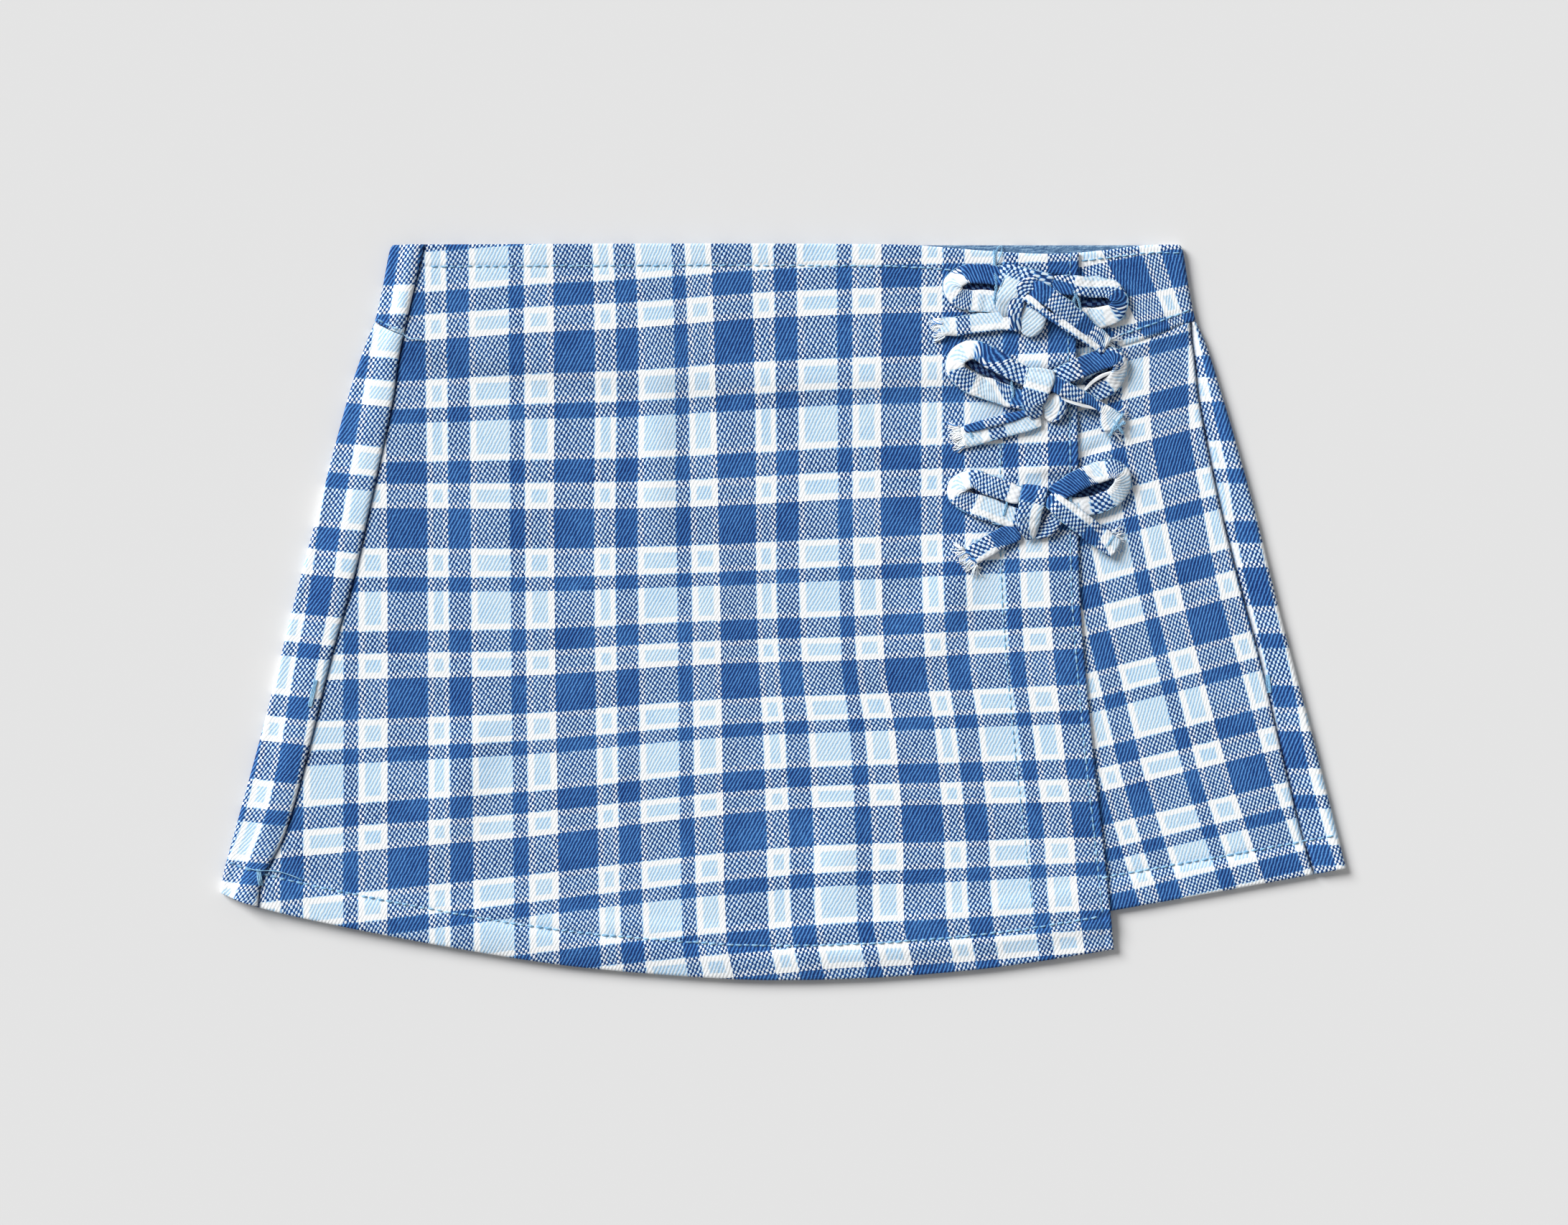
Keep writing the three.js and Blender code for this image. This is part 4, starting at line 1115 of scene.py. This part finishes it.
def add_tie(build, threads, rows, seed):
    """One folded strip as a soft flattened tube through its rows, with threads along its edge.

    A strip that runs down the garment lies with its weft along it, any other with its warp.
    Returns how long a strip of the usual width its cloth would make.
    """
    rows = np.array(rows, float)
    x, y = spot(rows[:, 0], rows[:, 1])
    upright = np.ptp(y) > np.ptp(x)
    # An eighth number is how much painted shade darkens a strip deep inside a loop
    dark = rows[:, 7] if rows.shape[1] > 7 else np.zeros(len(rows))
    travel = travelled(x, y)
    length = travel[-1]
    steps = int(length / TIE_STEP) + 4
    at = np.linspace(0, 1, steps)
    # Lines crowd towards both ends, which are rounded
    at = mix(at, smooth(at), 0.35) * length
    x, y, height, width, bank, along, across, dark = follow(travel, (x, y, *rows[:, 2:7].T, dark), at)
    z = tie_bed(x, y) + height * TIE_LIFT
    ahead = np.stack([np.gradient(x, at), np.gradient(y, at), np.gradient(z, at)], 1)
    ahead /= np.linalg.norm(ahead, axis=1)[:, None]
    flat = np.stack([-ahead[:, 1], ahead[:, 0], np.zeros(steps)], 1)
    flat /= np.linalg.norm(flat, axis=1)[:, None]
    tilt = np.radians(bank * TIE_BANK)[:, None]
    side_way = flat * np.cos(tilt) + np.cross(ahead, flat) * np.sin(tilt)
    up_way = np.cross(ahead, side_way)

    # The strip's section: a flattened round with uneven edges, a crease, gathers and a dent
    angle = np.linspace(0, 2 * math.pi, TIE_SIDES, endpoint=False)
    sideways = signed_power(np.cos(angle), TIE_SQUARENESS[0])[None, :]
    upward = signed_power(np.sin(angle), TIE_SQUARENESS[1])[None, :]
    from_end = np.minimum(at, length - at)[:, None]
    closing = np.sqrt(np.clip(1 - np.clip(1 - from_end / 0.9, 0, 1) ** 2, 0.03, 1))
    thick = np.minimum(TIE_THICKNESS, width * 0.7)[:, None] / 2
    left_edge = 1 + TIE_UNEVEN * ripple(at, seed, wave=3.1)[:, None]
    right_edge = 1 + TIE_UNEVEN * ripple(at, seed + 1, wave=2.7)[:, None]
    wide = width[:, None] / 2 * np.where(sideways > 0, left_edge, right_edge)
    crease = TIE_CREASE * cloud(at[:, None], sideways * 3.0 + seed, seed + 5, wave=2.2)
    gathers = ripple(sideways * 3.4 + 0.12 * at[:, None], seed + 3, wave=1.3)
    gathers = TIE_GATHER * np.exp(-from_end / 4.5) * gathers
    dent = -TIE_DENT * bell(sideways - 0.25 * ripple(at, seed + 9, wave=9.0)[:, None], 0.28)
    face = np.maximum(upward, 0) * np.clip(width[:, None] / 5, 0, 1)
    lift = (thick * upward + (crease + gathers + dent) * face) * closing
    spread = wide * sideways * closing
    middle = np.stack([x, y, z], 1)
    rings = middle[:, None, :] + side_way[:, None, :] * spread[..., None]
    rings = rings + up_way[:, None, :] * lift[..., None]
    # Painted shade: the strip is darker at its edges and on its underside, and much darker where it lies
    # deep inside a loop
    tone = 1 - 0.2 * np.abs(sideways) ** 6 - 0.5 * (upward < -0.3) - TIE_SHADE * dark[:, None]
    tone = tone + 0 * spread
    runs = np.broadcast_to(along[:, None], spread.shape)
    lies = across[:, None] + spread
    build.rings(rings, np.stack([lies, runs, tone] if upright else [runs, lies, tone], -1))

    if length > EDGE_THREAD_MIN and width.mean() > 5:
        turning = np.sum(np.cross(ahead[:-1], ahead[1:])[:, 2])
        outer = -1.0 if turning > 0 else 1.0
        aside = outer * 0.47 * width * (1 + TIE_UNEVEN * ripple(at, seed + (outer < 0), wave=3.0))
        edge = middle + side_way * aside[:, None]
        edge = edge + up_way * (0.35 + 0.12 * ripple(at, seed + 21, wave=1.4))[:, None]
        for start in range(2, steps - 8, 9):
            if ripple(start, seed + 31, wave=5.0) < 0.45:
                threads.strand(edge[start:start + 8], EDGE_THREAD_RADIUS, sides=5)
    return length * width.mean() / TIE_WIDTH


def add_fray(build, fray, seed):
    """Ravelled yarns fanning out of a tie's end, in tufts."""
    across, down, heading, width, count = fray
    x, y = spot(across, down)
    random = np.random.RandomState(seed)
    base = float(tie_bed(np.array(x), np.array(y)))
    turn = math.radians(heading)
    tufts = random.uniform(-0.5, 0.5, FRAY_TUFTS)
    part = np.linspace(0, 1, STRAND_POINTS)
    for yarn in range(count):
        tuft = tufts[yarn % FRAY_TUFTS]
        side = width * np.clip(tuft + random.normal(0, 0.06), -0.52, 0.52)
        start_x = x - math.sin(turn) * side - math.cos(turn)
        start_y = y + math.cos(turn) * side - math.sin(turn)
        way = turn + 0.9 * tuft + random.normal(0, 0.2)
        step = random.uniform(*FRAY_REACH) / STRAND_POINTS
        curl = 0.9 * math.sin(17 * tuft) + random.normal(0, 0.35)
        bend = way + curl * part
        px = start_x + np.cumsum(np.cos(bend)) * step
        py = start_y + np.cumsum(np.sin(bend)) * step
        pz = base + mix(random.uniform(0.5, 1.8), random.uniform(0.1, 0.7), part)
        where = YARN_SPOTS[random.choice(3, p=YARN_SHARES)]
        radius = random.uniform(*FRAY_RADIUS) * (1.05 - 0.6 * part)
        build.strand(np.stack([px, py, pz], 1), radius, 5, (*where, 1.0))


def add_tacks(build, tacks, seed):
    """Tack threads: a few twisted strands side by side along each line."""
    for number, rows in enumerate(tacks):
        rows = np.array(rows, float)
        x, y = spot(rows[:, 0], rows[:, 1])
        travel = travelled(x, y)
        at = np.linspace(0, travel[-1], int(travel[-1] / TACK_STEP) + 4)
        x, y, height = follow(travel, (x, y, rows[:, 2]), at)
        for strand in range(TACK_STRANDS):
            turn = at * TACK_TWIST + strand * 2 * math.pi / TACK_STRANDS
            wobble = TACK_WOBBLE * ripple(at, seed + 7 * number + strand, wave=1.7)
            aside = TACK_SWING * np.sin(turn) + wobble
            px = x - np.gradient(y, at) * aside
            py = y + np.gradient(x, at) * aside
            pz = tie_bed(x, y) + height + TACK_RISE * np.cos(turn)
            build.strand(np.stack([px, py, pz], 1), TACK_RADIUS, sides=6)


def make_bow(bow, parts, twill, thread):
    seed = int(bow[-1]) * 100
    threads = Build()
    cloths = {part: Build() for part in parts}
    lengths = {
        part: sum(
            add_tie(cloths[part], threads, rows, seed + number + 10 * len(part))
            for number, rows in enumerate(ribbons)
        )
        for part, ribbons in parts.items()
    }
    add_tacks(threads, TACKS[bow], seed)
    fray = Build()
    for number, row in enumerate(FRAYS[bow]):
        add_fray(fray, row, seed + 60 + number)
    tacks = threads.make(f"{bow}_tacks", thread, "tie_twill")
    ends = fray.make(f"{bow}_fray", twill, "tie_twill")
    for part, build in cloths.items():
        piece = build.make(f"{bow}_{part}_cloth", twill, "tie_twill")
        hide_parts(f"{bow}_{part}")


def stitches(name, surface, lines, material):
    """Rows of single stitches, each a short thread that dips into the cloth at both ends.

    Each line is x and y along the seam, and how much of the full thread radius it has.
    """
    build = Build()
    random = np.random.RandomState(len(name))
    part = np.linspace(0, 1, STRAND_POINTS)
    for x, y, share in lines:
        radius = THREAD_RADIUS * share
        travel = travelled(x, y)
        start = 0.4
        while start + STITCH_LENGTH < travel[-1]:
            reach = STITCH_LENGTH * random.uniform(0.85, 1.15)
            at = start + reach * part
            aside = random.uniform(-0.12, 0.12) + random.uniform(-0.2, 0.2) * (part - 0.5)
            px = np.interp(at, travel, x)
            py = np.interp(at, travel, y) + aside
            pz = surface(px, py) + radius * (1.9 * np.sin(math.pi * part) ** 0.6 - 1.0)
            swell = radius * (0.75 + 0.35 * np.sin(math.pi * part)) * random.uniform(0.85, 1.2)
            build.strand(np.stack([px, py, pz], 1), swell, 6, (start, y[0], 1.0))
            start += STITCH_PITCH * random.uniform(0.92, 1.08)
    build.make(name, material, "check_twill")


def laid_on(pieces):
    """How high the top of these finished pieces lies, for the sewing that crosses them."""
    trees = []
    for piece in pieces:
        corners = [vertex.co for vertex in piece.data.vertices]
        trees.append(BVHTree.FromPolygons(corners, [tuple(face.vertices) for face in piece.data.polygons]))

    def top(x, y):
        heights = []
        for across, up in zip(np.atleast_1d(x), np.atleast_1d(y)):
            above = Vector((across * MM, up * MM, 1.0))
            hits = [tree.ray_cast(above, Vector((0, 0, -1)))[0] for tree in trees]
            heights.append(max([hit.z for hit in hits if hit] + [0.0]) / MM)
        return np.array(heights)

    return top


def sew_seams(thread, top):
    """The stitching on the wrap, then right of the wrap and on both side strips."""
    row = {name: np.linspace(*span) for name, span in STITCH_ROWS.items()}
    wrap_head = front_top_line(row["wrap_head"]) - top_stitch(row["wrap_head"])
    stitches("wrap_stitches", wrap_top, [
        (row["wrap_hem"], wrap_hem(row["wrap_hem"]) + HEM_STITCH, 1.0),
        (wrap_edge(row["wrap_side"]) - EDGE_STITCH, row["wrap_side"], 0.8),
        (wrap_edge(row["facing"]) - FACING_WIDTH, row["facing"], 0.7),
        (row["wrap_head"], wrap_head, 0.85),
    ], thread)
    stitches("side_stitches", top, [
        (row["right_hem"], leg_hem(row["right_hem"]) + HEM_STITCH, 1.0),
        (row["left_hem"], leg_hem(row["left_hem"]) + HEM_STITCH, 1.0),
        (row["band_seam"], band_line(row["band_seam"]) + HALF_WAIST_GAP + BAND_STITCH, 0.9),
        (row["band_top"], front_top_line(row["band_top"]) - EDGE_STITCH, 0.8),
        (row["left_strip"], band_line(row["left_strip"]) + STRIP_STITCH, 0.8),
    ], thread)


def tacks_and_ends(thread, top):
    """Bar tacks over the side seams, and the sewing threads left hanging."""
    build = Build()
    part = np.linspace(0, 1, 30)
    for across, down, last_across, last_down in BAR_TACKS:
        x, y = spot(np.array([across, last_across]), np.array([down, last_down]))
        for strand in (-1, 0, 1):
            swing = 0.12 * ripple(part * 30, across + strand, wave=4.0)
            bar_x = mix(x[0], x[1], part) + 0.5 * strand + swing
            bar_y = mix(y[0], y[1], part)
            bar_z = top(bar_x, bar_y) + BAR_RADIUS
            build.strand(np.stack([bar_x, bar_y, bar_z], 1), BAR_RADIUS, sides=6)
    for rows in LOOSE_THREADS:
        rows = np.array(rows, float)
        order = np.linspace(0, len(rows) - 1, 24)
        x, y, height = follow(range(len(rows)), (*spot(rows[:, 0], rows[:, 1]), rows[:, 2]), order)
        build.strand(np.stack([x, y, top(x, y) + height], 1), LOOSE_RADIUS, sides=6)
    build.make("tacks_and_ends", thread, "check_twill")


class Nodes:
    """Short calls that add nodes to a material's tree and link them."""

    def __init__(self, name):
        self.material = bpy.data.materials.new(name)
        self.material.use_nodes = True
        self.tree = self.material.node_tree

    def put(self, socket, value):
        if isinstance(value, bpy.types.NodeSocket):
            self.tree.links.new(value, socket)
        else:
            socket.default_value = value

    def add(self, kind, inputs=(), **settings):
        node = self.tree.nodes.new(kind)
        for name, value in settings.items():
            setattr(node, name, value)
        for key, value in dict(inputs).items():
            self.put(node.inputs[key], value)
        return node

    def math(self, operation, *values):
        return self.add("ShaderNodeMath", dict(enumerate(values)), operation=operation).outputs[0]

    def plus(self, first, second):
        return self.math("ADD", first, second)

    def times(self, value, factor, added=0.0):
        return self.math("MULTIPLY_ADD", value, factor, added)

    def ease(self, value, low, high):
        inputs = {"Value": value, "From Min": low, "From Max": high}
        return self.add("ShaderNodeMapRange", inputs, interpolation_type="SMOOTHSTEP").outputs[0]

    def blend(self, factor, low, high):
        return self.add("ShaderNodeMix", {0: factor, 2: low, 3: high}, data_type="FLOAT").outputs[0]

    def noise(self, vector, scale, detail=2.0):
        inputs = {"Vector": vector, "Scale": scale, "Detail": detail}
        return self.add("ShaderNodeTexNoise", inputs).outputs[0]

    def waver(self, vector, scale, reach):
        """Noise about zero, reach from its lowest to its highest."""
        return self.times(self.noise(vector, scale), reach, -reach / 2)

    def cloth(self):
        return self.add("ShaderNodeAttribute", attribute_name="cloth").outputs["Vector"]

    def stretched(self, vector, scale):
        return self.add("ShaderNodeMapping", {"Vector": vector, "Scale": scale}).outputs[0]

    def ramp(self, value, stops):
        node = self.add("ShaderNodeValToRGB", {0: value})
        elements = node.color_ramp.elements
        while len(elements) < len(stops):
            elements.new(1.0)
        for element, (position, colour) in zip(elements, stops):
            element.position = position
            element.color = colour
        return node.outputs[0]

    def colours(self, value, rows):
        return self.ramp(value, [(position, linear(*colour)) for position, *colour in rows])

    def bump(self, height, strength, distance):
        inputs = {"Height": height, "Strength": strength, "Distance": distance}
        return self.add("ShaderNodeBump", inputs).outputs[0]

    def finish(self, inputs):
        """Sets the shader's own sockets and gives the material back."""
        for name, value in inputs.items():
            self.put(self.tree.nodes["Principled BSDF"].inputs[name], value)
        return self.material


def linear(red, green, blue):
    """A colour given as 8-bit screen values."""
    return tuple(((value / 255 + 0.055) / 1.055) ** 2.4 for value in (red, green, blue)) + (1.0,)


def chart_stops(chart, repeat):
    """Colour ramp stops for one repeat, each change spread over a short blend."""
    stops = [(0.0, (chart[0][1],) * 3 + (1.0,))]
    place = 0.0
    for (width, tone), (_, after) in zip(chart[:-1], chart[1:]):
        place += width
        stops.append(((place - YARN_BLEND) / repeat, (tone,) * 3 + (1.0,)))
        stops.append(((place + YARN_BLEND) / repeat, (after,) * 3 + (1.0,)))
    return stops


def check_material(name, bleach):
    """Indigo and white check twill, woven from the charts by the mesh's own cloth coordinates.

    Bleach is how far the pale squares have faded towards white.
    """
    n = Nodes(name)
    cloth = n.cloth()
    u, v, tone = n.add("ShaderNodeSeparateXYZ", {0: cloth}).outputs
    stray_u = n.plus(u, n.waver(cloth, 0.55, YARN_STRAY))
    stray_v = n.plus(v, n.waver(cloth, 0.65, YARN_STRAY))

    def diagonals(turns):
        turn = n.plus(n.times(stray_u, turns[0]), n.times(stray_v, turns[1]))
        return n.math("COSINE", n.times(turn, 2 * math.pi))

    def stripes(place, scale, chart, repeat):
        wandering = n.plus(place, n.waver(cloth, scale, STRIPE_WANDER))
        part = n.math("DIVIDE", n.math("FLOORED_MODULO", wandering, repeat), repeat)
        return n.ramp(part, chart_stops(chart, repeat))

    warp = stripes(u, 0.9, WARP_CHART, WARP_REPEAT)
    weft = stripes(v, 0.7, WEFT_CHART, WEFT_REPEAT)
    lines = diagonals(TWILL_LINES)
    steps = diagonals(TWILL_STEPS)
    lightest = n.math("MAXIMUM", warp, weft)
    darkest = n.math("MINIMUM", warp, weft)
    both_pale = n.times(n.ease(darkest, 0.3, 0.5), n.ease(lightest, 1.0, 0.75))
    both_light = n.ease(darkest, 0.15, 0.45)
    both_dark = n.math("SUBTRACT", 1.0, lightest)

    # Where the yarns differ, the diagonals say which of the two shows
    knots = n.times(lines, 0.54, n.times(steps, 0.46))
    shown = n.ease(n.plus(knots, n.waver(cloth, 1.1, KNOT_STRAY)), -0.12, 0.36)
    level = n.blend(n.math("MAXIMUM", shown, both_light), darkest, lightest)
    # Painted light on the weave: the raised diagonals are lighter, most where both yarns are indigo, and
    # the sunken ones darker, most where both are pale, as painted shade in the grooves
    raised = n.times(n.ease(lines, 0.2, 0.95), n.times(both_dark, 0.18, 0.02))
    low_share = n.times(n.math("SUBTRACT", 1.0, both_light), 0.1, 0.02)
    low_share = n.times(both_pale, 0.18 - 0.5 * bleach, low_share)
    sunk = n.times(n.ease(lines, -0.35, -0.9), low_share)
    level = n.math("SUBTRACT", n.plus(level, raised), sunk)
    level = n.times(both_pale, bleach, level)

    # Yarns are uneven along their length: warp yarns run down the cloth, weft yarns across
    warp_yarns, weft_yarns = [n.stretched(cloth, scale) for scale in YARN_SCALES]
    slub = n.plus(n.noise(warp_yarns, 1.0, 3.0), n.noise(weft_yarns, 1.0, 3.0))
    level = n.plus(level, n.times(slub, SLUB_TONE, -SLUB_TONE))
    level = n.plus(level, n.times(n.noise(cloth, 0.05, 3.0), PATCH_TONE, -PATCH_TONE / 2))
    colour = n.colours(n.times(level, 0.86, 0.14), TWILL_COLOURS)

    # Painted shade: the mesh's tone darkens seams, stitch grooves, tie edges and undersides and the
    # insides of loops, multiplying the colour towards a shaded blue
    painted_shade_inputs = {0: n.math("SUBTRACT", 1.0, tone), 6: colour, 7: linear(*FOLD_SHADE)}
    shade = n.add("ShaderNodeMix", painted_shade_inputs, data_type="RGBA", blend_type="MULTIPLY")
    relief = n.plus(n.times(lines, 0.5), n.times(steps, 0.3))
    relief = n.plus(relief, n.times(slub, 0.6))
    return n.finish({
        "Base Color": shade.outputs[2], "Normal": n.bump(relief, 0.55, 0.00016), "Roughness": 0.9,
        "Specular IOR Level": 0.12, "Sheen Weight": 0.06, "Sheen Roughness": 0.6,
    })


def thread_material():
    """Light-blue sewing thread with a soft twist."""
    n = Nodes("thread")
    place = n.add("ShaderNodeTexCoord").outputs["Object"]
    strands = n.noise(place, 1400.0, 3.0)
    level = n.times(strands, 0.7, n.times(n.noise(place, 90.0), 0.3))
    return n.finish({
        "Base Color": n.colours(level, THREAD_COLOURS), "Normal": n.bump(strands, 0.5, 0.0001),
        "Roughness": 0.75, "Sheen Weight": 0.15,
    })


def lining_material():
    """The plain blue inner face of the back waistband."""
    n = Nodes("band_lining")
    cloth = n.cloth()
    weave = n.noise(n.stretched(cloth, LINING_SCALE), 1.0, 3.0)
    level = n.times(n.noise(cloth, 1.6), 0.4, n.times(weave, 0.6))
    return n.finish({
        "Base Color": n.colours(level, LINING_COLOURS), "Normal": n.bump(level, 0.5, 0.00015),
        "Roughness": 0.9, "Sheen Weight": 0.1,
    })


def make_camera():
    data = bpy.data.cameras.new("camera")
    data.lens = LENS
    data.sensor_width = SENSOR
    camera = link(bpy.data.objects.new("camera", data))
    camera.location = (VIEW_CENTRE_X * MM, 0.0, VIEW_WIDTH * LENS / SENSOR * MM)
    bpy.context.scene.camera = camera


def make_light():
    sun = bpy.data.lights.new("key", "SUN")
    sun.energy = KEY_STRENGTH
    sun.angle = math.radians(KEY_ANGLE)
    key = link(bpy.data.objects.new("key", sun))
    key.rotation_euler = Vector(KEY_DIRECTION).to_track_quat("Z", "Y").to_euler()
    world = bpy.data.worlds.new("studio")
    world.use_nodes = True
    background = world.node_tree.nodes["Background"]
    background.inputs["Color"].default_value = (1.0, 1.0, 1.0, 1.0)
    background.inputs["Strength"].default_value = SKY_LEVEL
    bpy.context.scene.world = world
    bpy.context.scene.view_settings.view_transform = "Standard"


def make_floor():
    n = Nodes("floor")
    material = n.finish({"Base Color": linear(*FLOOR_GREY), "Roughness": 0.95, "Specular IOR Level": 0.1})
    corners = [(-1, -1, 0), (1, -1, 0), (1, 1, 0), (-1, 1, 0)]
    points = np.array(corners) * FLOOR_HALF
    mesh_object("floor", points, [(0, 1, 2, 3)], material, smooth_shade=False)


make_camera()
make_light()
make_floor()
twill = check_material("check_twill", 0.0)
backs = [make_back(-1, twill), make_back(1, twill)]
fronts = make_fronts(twill)
bands = [make_band(-1, twill, lining_material()), make_band(1, twill)]
wrap = make_wrap(twill)
thread = thread_material()
top = laid_on([*backs, *fronts, *bands, wrap])
sew_seams(thread, top)
tacks_and_ends(thread, top)
tie_cloth = check_material("tie_twill", TIE_BLEACH)
for bow, parts in BOWS.items():
    make_bow(bow, parts, tie_cloth, thread)
